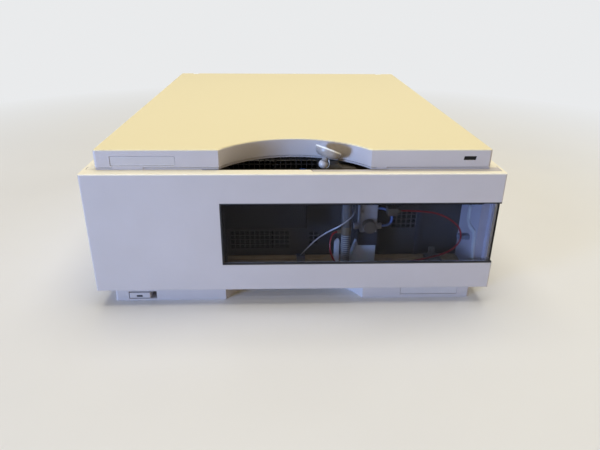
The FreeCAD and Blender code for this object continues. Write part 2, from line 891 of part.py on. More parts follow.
def front_wall():
    """Perforated sheet behind the compartment, with openings for the cell and the two lamps."""
    wide = cheek + plastic
    neck = cabinet_half + sheet
    under = shoulder_top - plastic
    right = [(wide, base_height), (wide, under), (neck, under), (neck, wall_top)]
    outer = [Vector(x, wall_y, z) for x, z in right + [(-x, z) for x, z in right[::-1]]]
    loops = [Part.makePolygon(outer + outer[:1])]
    for zone in grid_zones:
        loops += [Part.makePolygon(hole + hole[:1]) for hole in grid(*zone)]
    cell = cell_opening()
    loops.append(Part.makePolygon(cell + cell[:1]))
    loops += [circle_points(x, beam_z, r + lamp_flange + gap) for x, r in ((uv_x, uv_r), (vis_x, vis_r))]
    return Part.Face(loops, "Part::FaceMakerBullseye").extrude(Vector(0, sheet, 0))


def cell_opening():
    left = knob_x - cell_core_width / 2 - gap
    right = knob_x + cell_core_width / 2 + gap
    low = beam_z - cell_core_height / 2 - gap
    high = beam_z + cell_core_height / 2 + gap
    return [Vector(x, wall_y, z) for x, z in ((left, low), (right, low), (right, high), (left, high))]


def leak_pan():
    """Shallow folded tray that catches a leak and leads it to the drain."""
    y0 = at(pan_front)
    outer = box(-cheek, cheek, y0, wall_y, base_height, pan_top + pan_rim)
    inner = box(-cheek + pan_floor, cheek - pan_floor, y0 + pan_floor, wall_y - pan_floor, pan_top, height)
    return less(outer, inner)


def lamp_cover():
    """Dark hood over the lamp openings at the left of the compartment."""
    y0 = at(lamp_cover_d)
    outer = box(-cheek + gap, lamp_cover_right, y0, wall_y, lamp_cover_bottom, lamp_cover_top)
    outer = outer.makeFillet(lamp_cover_round, edges_at(outer, "Y", y0))
    t = hood_thickness
    plugs = [rod((x, y0 - 1, beam_z), (0, 1, 0), r * lamp_plug_share + gap, wall_y - y0 + 2)
             for x, r in ((uv_x, uv_r), (vis_x, vis_r))]
    room = box(-cheek + gap + t, lamp_cover_right - t, y0 + t, wall_y + 1, lamp_cover_bottom + t,
               lamp_cover_top - t)
    lead_ways = [plug.common(box(-cheek, cheek, y0 + t, wall_y + 1, 0, height)) for plug in plugs]
    return less(outer, room, *lead_ways)


def lamp_cover_knob():
    """Blue domed thumb screw on top of the lamp cover."""
    z0 = lamp_cover_top
    body = rod((cap_x, at(cap_d), z0), (0, 0, 1), cap_r, cap_height)
    return body.makeFillet(cap_r * cap_dome_share, edges_at(body, "Z", z0 + cap_height))


def funnel_axis():
    """Direction in which the funnel's mouth faces."""
    return Vector(math.tan(math.radians(funnel_lean)), math.tan(math.radians(funnel_back)), 1).normalize()


def knuckle_centre():
    return Vector(funnel_x, at(funnel_d), funnel_z) - funnel_axis() * funnel_reach


def leak_funnel():
    """Tilted cup on a round knuckle, which takes the leak hose of the module above."""
    t = funnel_wall
    reach = funnel_reach
    bowl = reach - funnel_bowl
    curve = [(share * funnel_r, bowl + rise * funnel_bowl) for share, rise in funnel_shape]
    outside = [(neck_r, bowl)] + curve + [(funnel_r, reach)]
    inside = [(funnel_r - t, reach)] + [(r - t, h + t) for r, h in curve[::-1]] + [(neck_bore, bowl + t)]
    profile = [(neck_bore, 0), (neck_r, 0)] + outside + inside
    cup = turned(profile, tuple(knuckle_centre()), tuple(funnel_axis()))
    ball = Part.makeSphere(knuckle_r, knuckle_centre())
    bore = rod(tuple(knuckle_centre()), tuple(funnel_axis()), neck_bore, reach)
    return less(joined(cup, ball), bore)


def funnel_holder():
    """Bracket that grips the funnel's knuckle, and the socket of the drain tube under it."""
    y0 = at(funnel_d - holder_before)
    y1 = at(drain_d + holder_behind)
    slope_top = holder_right - holder_slope
    plate = prism([(holder_left, hood_top), (holder_right, hood_top), (slope_top, holder_top),
                   (holder_left + holder_lean, holder_top)], y0, y1)
    socket = rod((drain_x, at(drain_d), riser_top - holder_grip), (0, 0, 1), riser_r + holder_wall,
                 hood_top + holder_lean - riser_top + holder_grip)
    foot = box(holder_left, drain_x + riser_r, y0, y1, hood_top, hood_top + holder_foot)
    bore = rod((drain_x, at(drain_d), riser_top - holder_grip - 1), (0, 0, 1), riser_r, holder_grip + 1)
    drop = rod((drain_x, at(drain_d), riser_top - 1), (0, 0, 1), riser_r - tube_wall, hood_top - riser_top)
    cup = Part.makeSphere(knuckle_r, knuckle_centre())
    neck = rod(tuple(knuckle_centre()), tuple(funnel_axis()), neck_r + gap, funnel_reach)
    return less(joined(plate, socket, foot), bore, drop, cup, neck)


def drain_riser():
    """Clear tube from the funnel's holder down to the coupling."""
    low = coupling_bottom + coupling_height
    outer = rod((drain_x, at(drain_d), low), (0, 0, 1), riser_r, riser_top - low)
    bore = rod((drain_x, at(drain_d), low - 1), (0, 0, 1), riser_r - tube_wall, riser_top - low + 2)
    return less(outer, bore)


def drain_coupling():
    """Sleeve flush with the two tubes, with a spigot up into the riser and one down into the hose."""
    top = coupling_bottom + coupling_height
    outer = rod((drain_x, at(drain_d), coupling_bottom), (0, 0, 1), riser_r, coupling_height)
    upper = rod((drain_x, at(drain_d), top - 1), (0, 0, 1), riser_r - tube_wall, holder_grip + 1)
    lower = rod((drain_x, at(drain_d), coupling_bottom - holder_grip), (0, 0, 1), hose_bore_r,
                holder_grip + 1)
    through = rod((drain_x, at(drain_d), coupling_bottom - holder_grip - 1), (0, 0, 1),
                  hose_bore_r - tube_wall, coupling_height + 2 * holder_grip + 2)
    port = rod((drain_x - riser_r + 1, at(drain_d), coupling_port_z), (-1, 0, 0), port_r,
               drain_x - riser_r + 1 - coupling_port_x)
    return less(joined(outer, upper, lower, port), through)


def drain_hose():
    """Corrugated hose from the coupling to the leak tray."""
    low = pan_top
    high = coupling_bottom
    count = int((coupling_bottom - 1 - low) / hose_pitch)
    inner = hose_bore_r
    profile = [(inner, 0), (drain_r, 0)]
    falls, bottom, rises = hose_wave
    for i in range(count):
        z = i * hose_pitch
        profile += [(drain_r, z + hose_pitch * falls), (drain_r - hose_groove, z + hose_pitch * bottom),
                    (drain_r - hose_groove, z + hose_pitch * rises), (drain_r, z + hose_pitch)]
    profile += [(drain_r, high - low), (inner, high - low)]
    return turned(profile, (drain_x, at(drain_d), low), (0, 0, 1))


def drain_block():
    """White moulded ramp that leads a leak from the cell down into the tray."""
    y0 = at(cell_face)
    ramp = prism([(ramp_foot, pan_top), (cell_right, pan_top), (cell_right, cell_base_bottom),
                  (ramp_top, cell_base_bottom)], y0, wall_y - pan_floor)
    strip = along_x([(at(drain_d), pan_top), (wall_y - pan_floor, pan_top),
                     (wall_y - pan_floor, strip_back_top), (at(drain_d), strip_front_top)],
                    strip_left, strip_left + strip_width)
    web = box(strip_left, ramp_top, wall_y - pan_floor - plastic, wall_y - pan_floor, pan_top,
              cell_base_bottom)
    clear = rod((drain_x, at(drain_d), pan_top - 1), (0, 0, 1), riser_r + holder_wall + gap, height)
    return less(joined(ramp, strip, web), clear)


def leak_sensor():
    """Small probe that lies in the low corner of the leak tray, with its bracket on the wall."""
    y1 = wall_y - pan_floor
    y0 = y1 - sensor_depth
    body = box(sensor_x, sensor_x + sensor_width, y0, y1, pan_top, pan_top + sensor_height)
    stem = box(sensor_x + sensor_stem_in, sensor_x + sensor_width - sensor_stem_in,
               y1 - sensor_stem_depth, y1, pan_top, pan_top + sensor_stem_height)
    bead = rod((sensor_x + sensor_width / 2, y0, pan_top + bead_rise), (0, -1, 0), bead_r, bead_length)
    return joined(body, stem, bead)


def flow_cell():
    """Cell cartridge: it goes through the wall into the light beam."""
    x0 = knob_x - cell_core_width / 2
    core = box(x0, x0 + cell_core_width, wall_y, at(cell_back_d), beam_z - cell_core_height / 2,
               beam_z + cell_core_height / 2)
    bore = rod((x0 - 1, beam_y, beam_z), (1, 0, 0), cell_bore_r, cell_core_width + 2)
    return less(core, bore)


def cell_holder():
    """Machined face block of the flow cell, with the screw that draws the cell in."""
    block = box(cell_left, cell_right, at(cell_face), wall_y, cell_bottom, cell_top)
    block = block.makeFillet(cell_round, edges_at(block, "Y", at(cell_face)))
    groove = box(cell_left - 1, cell_left + groove_depth, at(cell_face) - 1, at(cell_face) + groove_depth,
                 knob_z + knob_r + groove_rise, knob_z + knob_r + groove_rise + groove_width)
    bore = rod((knob_x, at(cell_face) - 1, knob_z), (0, 1, 0), screw_r + screw_clear, screw_length + 1)
    fitting = rod((cell_left + 1, at(fitting_d), fitting_z), (-1, 0, 0), fitting_r, fitting_length + 1)
    fitting_right = rod((cell_right - 1, at(fitting_d), fitting_z), (1, 0, 0), fitting_r, fitting_length + 1)
    return less(joined(block, fitting, fitting_right), groove, bore)


def cell_screw():
    """Knurled thumb screw in the face of the cell holder."""
    face = at(cell_face)
    knob = rod((knob_x, face - gap, knob_z), (0, -1, 0), knob_r, knob_length)
    knob = knob.makeFillet(knob_round, edges_at(knob, "Y", face - gap - knob_length))
    notches = [rod((knob_x + knob_r * math.cos(a), face - gap + 1, knob_z + knob_r * math.sin(a)),
                   (0, -1, 0),
                   knurl_r, knob_length * knurl_share + 1)
               for a in [2 * math.pi * i / knurl_count for i in range(knurl_count)]]
    shank = rod((knob_x, face - gap - 0.1, knob_z), (0, 1, 0), screw_r, screw_length - 1)
    return joined(less(knob, *notches), shank)


def cell_base():
    """Dark block that the cell holder stands on."""
    return box(cell_left - base_lip, cell_right + base_lip, at(cell_face), wall_y, cell_base_bottom,
               cell_bottom)


def capillary_union():
    """Fitting at the right of the cell, on a bracket from the wall."""
    body = box(union_left, union_left + union_width, at(union_d), at(union_d) + union_width,
               union_bottom, union_bottom + union_height)
    arm = box(union_left + union_arm_in, union_left + union_width - union_arm_in, at(union_d) + union_width,
              wall_y, union_bottom + union_arm_in, union_bottom + union_height - union_arm_in)
    nut = rod((union_left + union_width, at(union_d) + union_width / 2, union_port_z), (1, 0, 0), nut_r,
              nut_length)
    return joined(body, arm, nut)


def placed(offsets, x, d, z):
    """Route points from their offsets to one place."""
    return [(x + dx, at(d + dd), z + dz) for dx, dd, dz in offsets]


def red_points():
    """Route of the outlet capillary: round the right of the compartment and back behind the drain."""
    y = at(union_d) + union_width / 2
    start = union_left + union_width + nut_length
    return ([(start, y, union_port_z), (start + red_past_union, y, union_port_z)]
            + placed(red_by_clip, clip_x, clip_d, clip_z)
            + placed(red_by_drain, drain_x, drain_d, pan_top)
            + [(coupling_port_x - red_before_port, at(drain_d), coupling_port_z),
               (coupling_port_x, at(drain_d), coupling_port_z)])


def blue_points():
    """Route of the short blue tube from the cell's right-hand fitting up to its side."""
    return placed(blue_by_cell, cell_right + fitting_length, fitting_d, fitting_z)


def steel_points():
    """Route of the inlet capillary from the tray up to the cell's left-hand side."""
    return placed(steel_by_cell, cell_left, 0, pan_top)


def outlet_capillary():
    return tube("outlet_capillary", red_points(), capillary_r)


def blue_capillary():
    return tube("blue_capillary", blue_points(), blue_tube_r)


def steel_capillary():
    return tube("steel_capillary", steel_points(), steel_tube_r)


def tube_clips():
    """Grey clips on the right cheek and in the tray that hold the capillaries."""
    reach = capillary_r + clip_wall
    arm = box(clip_x - reach, cheek, at(clip_d) - capillary_r, at(clip_d) + clip_depth_behind,
              clip_z, clip_z + clip_height)
    slot = rod((clip_x, at(clip_d), clip_z - 1), (0, 0, 1), capillary_r + clip_play, clip_height + 2)
    mouth = box(clip_x - capillary_r, clip_x + capillary_r, at(clip_d) - reach, at(clip_d),
                clip_z - 1, clip_z + clip_height + 1)
    post = box(post_x, post_x + post_width, at(post_d), wall_y - pan_floor, pan_top,
               pan_top + steel_rise - steel_tube_r)
    return Part.makeCompound([less(arm, slot, mouth), post])


def lamp_housing():
    """Cast block that holds the two lamps in line with the beam, with cooling fins on its back."""
    x0 = lamp_box_left
    y0 = wall_y + sheet + lamp_flange
    z0 = lamp_box_bottom
    body = box(x0, lamp_box_right, y0, y0 + lamp_box_depth, z0, z0 + lamp_box_height)
    step = lamp_box_width / fin_count
    fins = [box(x0 + i * step, x0 + i * step + step * fin_share, y0 + lamp_box_depth - 1,
                y0 + lamp_box_depth + fin_length, z0, z0 + lamp_box_height) for i in range(fin_count)]
    uv = rod((uv_x, y0 - 1, beam_z), (0, 1, 0), uv_r + gap, lamp_length + 2)
    vis = rod((vis_x, y0 - 1, beam_z), (0, 1, 0), vis_r + gap, lamp_length + 2)
    beam = rod((vis_x, beam_y, beam_z), (1, 0, 0), beam_r, lamp_box_right - vis_x + 1)
    return less(joined(body, *fins), uv, vis, beam)


def lamp(x, r):
    """A lamp in its holder: flange, round body with flats of glass at the beam, and a connector."""
    y0 = wall_y + sheet
    flange = rod((x, y0, beam_z), (0, 1, 0), r + lamp_flange, lamp_flange)
    body = rod((x, y0 + lamp_flange, beam_z), (0, 1, 0), r, lamp_length - r)
    dome = Part.makeSphere(r, Vector(x, y0 + lamp_flange + lamp_length - r, beam_z))
    plug = rod((x, wall_y - lamp_plug, beam_z), (0, 1, 0), r * lamp_plug_share, lamp_plug + sheet + 1)
    beam = rod((x - r - 1, beam_y, beam_z), (1, 0, 0), lamp_window_r, 2 * r + 2)
    return less(joined(flange, body, dome, plug), beam)


def deuterium_lamp():
    return lamp(uv_x, uv_r)


def tungsten_lamp():
    return lamp(vis_x, vis_r)


def optical_base():
    """Cast tray that keeps the lens, slit, grating and array in line."""
    y0 = at(bench_front_d)
    y1 = at(bench_back_d)
    top = bench_bottom + bench_height
    t = bench_wall
    tray = less(box(bench_left, bench_right, y0, y1, bench_bottom, top),
                box(bench_left + t, bench_right - t, y0 + t, y1 - t, bench_bottom + t, top + 1))
    opening = cell_opening()
    door = box(opening[0].x, opening[2].x, y0 - 1, y0 + t + 1, opening[0].z, opening[2].z)
    lens_hole = rod((bench_left - 1, beam_y, beam_z), (1, 0, 0), lens_r, t + 2)
    floor = bench_bottom + t
    back_of_grating = grating_x + grating_thickness
    mount = box(back_of_grating, back_of_grating + grating_mount, beam_y - grating_r, beam_y + grating_r,
                floor, beam_z + grating_r)
    cell_seat = box(knob_x - cell_core_width / 2, knob_x + cell_core_width / 2, beam_y - cell_seat_front,
                    at(cell_back_d), floor, beam_z - cell_core_height / 2)
    motor_seat = box(motor_x + motor_seat_in, motor_x + motor_length - motor_seat_in, at(motor_d) - motor_r,
                     at(motor_d) + motor_r, floor, motor_z)
    motor_room = rod((motor_x, at(motor_d), motor_z), (1, 0, 0), motor_r, motor_length)
    return less(joined(tray, mount, cell_seat, motor_seat), door, lens_hole, motor_room)


def optical_lid():
    top = bench_bottom + bench_height
    return box(bench_left, bench_right, at(bench_front_d), at(bench_back_d), top, top + bench_lid)


def optical_dampers():
    """Four rubber feet under the optical base."""
    places = [(x, d) for x in (bench_left + damper_in, bench_right - damper_in)
              for d in (bench_front_d + damper_in, bench_back_d - damper_in)]
    high = bench_bottom - cabinet_floor
    waist = damper_r * damper_waist
    profile = [(0, 0), (damper_r, 0), (waist, high / 2), (damper_r, high), (0, high)]
    return Part.makeCompound([turned(profile, (x, at(d), cabinet_floor), (0, 0, 1)) for x, d in places])


def source_lens():
    """Lens in its tube, in the wall of the optical base that faces the lamps."""
    outer = rod((bench_left - lens_stand, beam_y, beam_z), (1, 0, 0), lens_r, lens_length)
    collar = rod((bench_left + bench_wall, beam_y, beam_z), (1, 0, 0),
                 lens_r + lens_collar_step, lens_collar)
    bore = rod((bench_left - lens_stand - 1, beam_y, beam_z), (1, 0, 0), beam_r, lens_length + 2)
    glass = rod((bench_left + lens_length / 2, beam_y, beam_z), (1, 0, 0), beam_r, lens_glass)
    return joined(less(joined(outer, collar), bore), glass)


def slit_plate():
    """Plate with the entrance slit of the spectrograph."""
    floor = bench_bottom + bench_wall
    half = slit_plate_half
    plate = box(slit_x, slit_x + slit_plate_thickness, beam_y - half, beam_y + half, floor, beam_z + half)
    foot = box(slit_x, slit_x + slit_foot, beam_y - half, beam_y + half, floor, floor + slit_foot_height)
    slit = box(slit_x - 1, slit_x + slit_plate_thickness + 1, beam_y - slit_width / 2,
               beam_y + slit_width / 2, beam_z - slit_height / 2, beam_z + slit_height / 2)
    return less(joined(plate, foot), slit)


def grating():
    return rod((grating_x, beam_y, beam_z), (1, 0, 0), grating_r, grating_thickness)


def array_board():
    """Circuit board that stands on the optical base and carries the diode array."""
    floor = bench_bottom + bench_wall
    y0 = at(array_d)
    return box(array_x - board_thickness, array_x, y0, y0 + array_width + 2 * array_end, floor,
               beam_z + array_board_above)


def diode_array():
    """Long ceramic package with a window, and two rows of pins into its board."""
    y0 = at(array_d) + array_end
    face = array_x + array_stand + array_thickness
    body = box(array_x + array_stand, face, y0, y0 + array_width, beam_z - array_half_height,
               beam_z + array_half_height)
    recess = box(face - array_window_depth, face + 1, y0 + array_window_end,
                 y0 + array_width - array_window_end, beam_z - array_window_half, beam_z + array_window_half)
    pins = []
    for i in range(int(array_width / pin_pitch)):
        y = y0 + array_end + i * pin_pitch
        for z in (beam_z - array_half_height + pin_row_in,
                  beam_z + array_half_height - pin_row_in - pin_size):
            pins.append(box(array_x, array_x + array_stand + 0.5, y, y + pin_size, z, z + pin_size))
    return less(joined(body, *pins), recess)


def filter_motor():
    """Small motor that swings the filter flag."""
    body = rod((motor_x, at(motor_d), motor_z), (1, 0, 0), motor_r, motor_length)
    bore = rod((motor_x - 1, at(motor_d), motor_z), (1, 0, 0), screw_r + screw_clear,
               motor_length - motor_bore_end)
    return less(body, bore)


def filter_flag():
    """Arm with the holmium glass that swings into the beam, drawn in its parked place."""
    reach = Vector(0, beam_y - at(motor_d), beam_z - motor_z)
    angle = math.degrees(math.atan2(reach.z, reach.y)) - flag_swing
    arm_dir = Vector(0, math.cos(math.radians(angle)), math.sin(math.radians(angle)))
    hub_x = motor_x - gap - flag_thickness
    centre = Vector(hub_x, at(motor_d), motor_z)
    tip = centre + arm_dir * reach.Length
    hub = rod(tuple(centre), (1, 0, 0), flag_hub_r, flag_thickness)
    shaft = rod((hub_x, centre.y, centre.z), (1, 0, 0), screw_r, motor_length / 2)
    disc = rod(tuple(tip), (1, 0, 0), beam_r + flag_disc_rim, flag_thickness)
    arm = Part.makeBox(flag_thickness, reach.Length, flag_arm, Vector(0, 0, -flag_arm / 2))
    arm.Placement = FreeCAD.Placement(centre, FreeCAD.Rotation(Vector(1, 0, 0), angle))
    return joined(hub, shaft, disc, arm)


def foam_block():
    """Foam moulding that fills the bottom of the cabinet, with a pocket for each unit in it."""
    half = cabinet_half - sheet
    body = box(-half, half, wall_y + sheet, inner_rear, cabinet_floor, foam_top)
    g = gap
    lamp_back = wall_y + sheet + lamp_flange + lamp_box_depth + fin_length
    pockets = [
        box(lamp_box_left - g, lamp_box_right + g, wall_y, lamp_back + g, lamp_box_bottom, height),
        box(bench_left - g, bench_right + g, wall_y, at(bench_back_d) + g, cabinet_floor - 1, height),
        box(lamp_box_right - 1, bench_left + 1, beam_y - foam_beam_half, beam_y + foam_beam_half,
            beam_z - foam_beam_half, height),
        box(board_left - g, board_right + g, at(board_front_d) - g, inner_rear + 1,
            cabinet_floor - 1, height),
        box(supply_left - g, supply_right + g, at(tab_front) - foam_plunger_room, inner_rear + 1,
            cabinet_floor - 1, height),
        box(fan_x - fan_size / 2 - g, fan_x + fan_size / 2 + g, inner_rear - fan_depth - duct_length,
            inner_rear + 1, fan_z - fan_size / 2 - g, height)]
    return less(body, *pockets)


def main_board():
    return box(board_left, board_right, at(board_front_d), inner_rear - gap, board_level,
               board_level + board_thickness)


def rear_connectors():
    """Sockets along the rear edge of the main board, which reach through the back of the cabinet."""
    z0 = board_level + board_thickness
    solids = []
    for x, wide, high in connector_places:
        body = box(x, x + wide, inner_rear - connector_length, rear_y + connector_reach, z0, z0 + high)
        face = rear_y + connector_reach
        mouth = box(x + connector_wall, x + wide - connector_wall, face - connector_mouth, face + 1,
                    z0 + connector_wall, z0 + high - connector_wall)
        solids.append(less(body, mouth))
    return Part.makeCompound(solids)


def power_supply():
    """Enclosed supply, with the plunger of the mains switch on its front."""
    y0 = at(supply_front_d)
    body = box(supply_left, supply_right, y0, inner_rear - socket_depth, cabinet_floor, supply_top)
    plunger = rod((pipe_x, y0 + 1, rod_tab_top - plunger_r - plunger_below_tab), (0, -1, 0), plunger_r,
                  plunger_length + 1)
    vents = [box(supply_left + supply_vent_in, supply_right - supply_vent_in, y0 - 1, y0 + supply_vent_deep,
                 supply_top - drop, supply_top - drop + supply_vent_height)
             for drop in supply_vent_drops]
    return less(joined(body, plunger), *vents)


def power_inlet():
    """Mains socket of the standard pattern, with a fuse drawer under it."""
    x0 = inlet_socket_x - inlet_socket_width / 2
    x1 = inlet_socket_x + inlet_socket_width / 2
    z0 = inlet_socket_z - inlet_socket_height / 2
    z1 = inlet_socket_z + inlet_socket_height / 2
    face = rear_y + socket_flange_thick
    flange = box(x0 - socket_flange, x1 + socket_flange, rear_y, face, z0 - socket_flange, z1 + socket_flange)
    body = box(x0, x1, inner_rear - socket_depth, rear_y + 1, z0, z1)
    mid = inlet_socket_z + socket_split
    cavity = box(x0 + socket_wall, x1 - socket_wall, face - socket_cavity, face + 1, mid, z1 - socket_roof)
    prongs = [box(x - prong_half, x + prong_half, face - socket_cavity - 1, face - prong_tip_in,
                  mid + prong_rise, mid + prong_rise + prong_height)
              for x in (inlet_socket_x - prong_pitch, inlet_socket_x, inlet_socket_x + prong_pitch)]
    drawer = box(x0 + fuse_in, x1 - fuse_in, rear_y + 1, face + fuse_proud, z0 + fuse_foot, mid - fuse_split)
    return joined(less(joined(flange, body), cavity), drawer, *prongs)


def fan_frame():
    """Square fan housing with four struts and a hub that carries the rotor's shaft."""
    half = fan_size / 2
    y0 = inner_rear - fan_depth
    frame = box(fan_x - half, fan_x + half, y0, inner_rear, fan_z - half, fan_z + half)
    frame = less(frame, rod((fan_x, y0 - 1, fan_z), (0, 1, 0), half - fan_rim, fan_depth + 2))
    hub = rod((fan_x, inner_rear - strut_depth, fan_z), (0, 1, 0), fan_hub_r - fan_hub_wall, strut_depth)
    struts = [box(fan_x - half + 1, fan_x + half - 1, inner_rear - strut_depth, inner_rear,
                  fan_z - strut_half, fan_z + strut_half),
              box(fan_x - strut_half, fan_x + strut_half, inner_rear - strut_depth, inner_rear,
                  fan_z - half + 1, fan_z + half - 1)]
    shaft = rod((fan_x, y0, fan_z), (0, 1, 0), fan_shaft_r + screw_clear, fan_depth + 1)
    return less(joined(frame, hub, *struts), shaft)


def fan_rotor():
    """Hub with pitched blades, and the shaft that runs in the frame."""
    y0 = inner_rear - fan_depth + rotor_gap
    length = fan_depth - strut_depth - 2 * rotor_gap
    hub = rod((fan_x, y0, fan_z), (0, 1, 0), fan_hub_r, length)
    shaft = rod((fan_x, y0, fan_z), (0, 1, 0), fan_shaft_r, fan_depth - rotor_gap)
    tip_r = fan_size / 2 - fan_rim - fan_tip_gap
    shell = less(rod((fan_x, y0, fan_z), (0, 1, 0), tip_r, length),
                 rod((fan_x, y0 - 1, fan_z), (0, 1, 0), fan_hub_r - blade_root, length + 2))
    blades = []
    for i in range(fan_blades):
        blade = Part.makeBox(tip_r + 2, 2 * length, blade_thickness,
                             Vector(0, -length, -blade_thickness / 2))
        blade.Placement = FreeCAD.Placement(
            Vector(fan_x, y0 + length / 2, fan_z),
            FreeCAD.Rotation(Vector(0, 1, 0), 360.0 * i / fan_blades)
            * FreeCAD.Rotation(Vector(1, 0, 0), fan_pitch))
        blades.append(blade.common(shell))
    return joined(hub, shaft, *blades)


def cabinet_tray():
    """Folded sheet cabinet: floor, two sides and the back with its cut-outs."""
    half = cabinet_half
    front_y = wall_y + sheet
    top = cabinet_top - sheet
    outer = box(-half, half, front_y, rear_y, base_height, top)
    inner = box(-half + sheet, half - sheet, front_y - 1, inner_rear, cabinet_floor, top + 1)
    posts = [rod((x, at(d), cabinet_floor), (0, 0, 1), standoff_r, board_level - cabinet_floor)
             for x in (board_left + standoff_in, board_right - standoff_in)
             for d in (board_front_d + standoff_front, depth - standoff_back)]
    pin_x = lever_left + lever_pin_in
    pin_z = lever_bottom + lever_height / 2
    pin_length = lever_thickness + 2 * gap
    pins = [rod((pin_x, rear_y, pin_z), (0, 1, 0), lever_pin_r, pin_length + gap),
            rod((pin_x, rear_y + pin_length, pin_z), (0, 1, 0), lever_pin_r + lever_head, lever_head_thick)]
    cuts = []
    z0 = board_level + board_thickness
    for x, wide, high in connector_places:
        cuts.append(box(x - gap, x + wide + gap, inner_rear - 1, rear_y + 1, z0 - gap, z0 + high + gap))
    cuts.append(box(inlet_socket_x - inlet_socket_width / 2, inlet_socket_x + inlet_socket_width / 2,
                    inner_rear - 1, rear_y + 1, inlet_socket_z - inlet_socket_height / 2,
                    inlet_socket_z + inlet_socket_height / 2))
    reach = fan_size / 2 - fan_rim
    count = int((2 * reach - 2 * vent_margin) / vent_pitch)
    for i in range(count):
        z = fan_z - (count - 1) * vent_pitch / 2 + i * vent_pitch
        half_chord = math.sqrt(reach ** 2 - (abs(z - fan_z) + vent_height / 2) ** 2)
        for x0, x1 in ((fan_x - half_chord, fan_x - vent_post), (fan_x + vent_post, fan_x + half_chord)):
            cuts.append(box(x0, x1, inner_rear - 1, rear_y + 1, z - vent_height / 2, z + vent_height / 2))
    half_tab = pipe_width / 2 + gap
    cuts.append(box(pipe_x - half_tab, pipe_x + half_tab, at(tab_front) - gap,
                    at(tab_back) + button_travel + gap, base_height - 1, cabinet_floor + 1))
    return less(joined(less(outer, inner), *posts, *pins), *cuts)


def cabinet_lid():
    """Sheet lid of the cabinet, with a flange folded down each side."""
    front_y = wall_y + sheet
    half = cabinet_half + sheet
    outer = box(-half, half, front_y, rear_y, cabinet_top - lid_flange, cabinet_top)
    inner = box(-cabinet_half, cabinet_half, front_y - 1, rear_y + 1, cabinet_top - lid_flange - 1,
                cabinet_top - sheet)
    return less(outer, inner)


def safety_lever():
    """Sliding plate beside the mains socket, which keeps the lid shut while a plug is in."""
    y0 = rear_y + gap
    plate = box(lever_left, lever_left + lever_width, y0, y0 + lever_thickness, lever_bottom,
                lever_bottom + lever_height)
    mid = lever_bottom + lever_height / 2
    x0 = lever_left + lever_pin_in
    slot = box(x0 - lever_pin_r - gap, x0 + lever_travel + lever_pin_r + gap, y0 - 1,
               y0 + lever_thickness + 1, mid - lever_pin_r - gap, mid + lever_pin_r + gap)
    grip = box(lever_left + lever_width - lever_grip, lever_left + lever_width,
               y0 + lever_thickness - lever_grip_set, y0 + lever_thickness + lever_grip_out,
               lever_bottom, lever_bottom + lever_height)
    return joined(less(plate, slot), grip)


def main():
    os.makedirs("parts", exist_ok=True)
    parts = {
        "base_housing": base_housing(), "side_panel_right": side_panel_right(rail_shelf),
        "side_panel_left": mirrored(side_panel_right(cover_side_ledge + gap)),
        "top_cover": top_cover(), "top_cover_clips": top_cover_clips(), "name_plate": name_plate(),
        "serial_plate": serial_plate(), "status_light_pipe": status_light_pipe(),
        "front_rail": front_rail(), "compartment_hood": compartment_hood(), "front_wall": front_wall(),
        "leak_pan": leak_pan(), "lamp_cover": lamp_cover(), "lamp_cover_knob": lamp_cover_knob(),
        "leak_funnel": leak_funnel(), "funnel_holder": funnel_holder(), "drain_riser": drain_riser(),
        "drain_coupling": drain_coupling(), "drain_hose": drain_hose(), "drain_block": drain_block(),
        "leak_sensor": leak_sensor(), "flow_cell": flow_cell(), "cell_holder": cell_holder(),
        "cell_screw": cell_screw(), "cell_base": cell_base(), "capillary_union": capillary_union(),
        "outlet_capillary": outlet_capillary(), "blue_capillary": blue_capillary(),
        "steel_capillary": steel_capillary(), "tube_clips": tube_clips(),
        "front_cover": front_cover(), "front_window": front_window(), "window_seal": window_seal(),
        "release_button_right": release_button_right(),
        "release_button_left": mirrored(release_button_right()),
        "power_button": power_button(), "power_light_pipe": power_light_pipe(),
        "cabinet_tray": cabinet_tray(), "cabinet_lid": cabinet_lid(), "foam_block": foam_block(),
        "lamp_housing": lamp_housing(), "deuterium_lamp": deuterium_lamp(), "tungsten_lamp": tungsten_lamp(),
        "optical_base": optical_base(), "optical_lid": optical_lid(), "optical_dampers": optical_dampers(),
        "source_lens": source_lens(), "slit_plate": slit_plate(), "grating": grating(),
        "array_board": array_board(), "diode_array": diode_array(), "filter_motor": filter_motor(),
        "filter_flag": filter_flag(), "main_board": main_board(), "rear_connectors": rear_connectors(),
        "power_supply": power_supply(), "power_inlet": power_inlet(), "fan_frame": fan_frame(),
        "fan_rotor": fan_rotor(), "safety_lever": safety_lever()}
    for name, shape in parts.items():
        shape.exportStep("parts/" + name + ".step")
        b = shape.BoundBox
        print(f"{name:22s} solids {len(shape.Solids)} valid {shape.isValid()} vol {shape.Volume:10.1f} "
              f"x {b.XMin:.1f} {b.XMax:.1f} y {b.YMin:.1f} {b.YMax:.1f} z {b.ZMin:.1f} {b.ZMax:.1f}")
    print(len(parts), "nodes")


main()
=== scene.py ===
import math

import bmesh
import bpy
from mathutils import Matrix, Vector


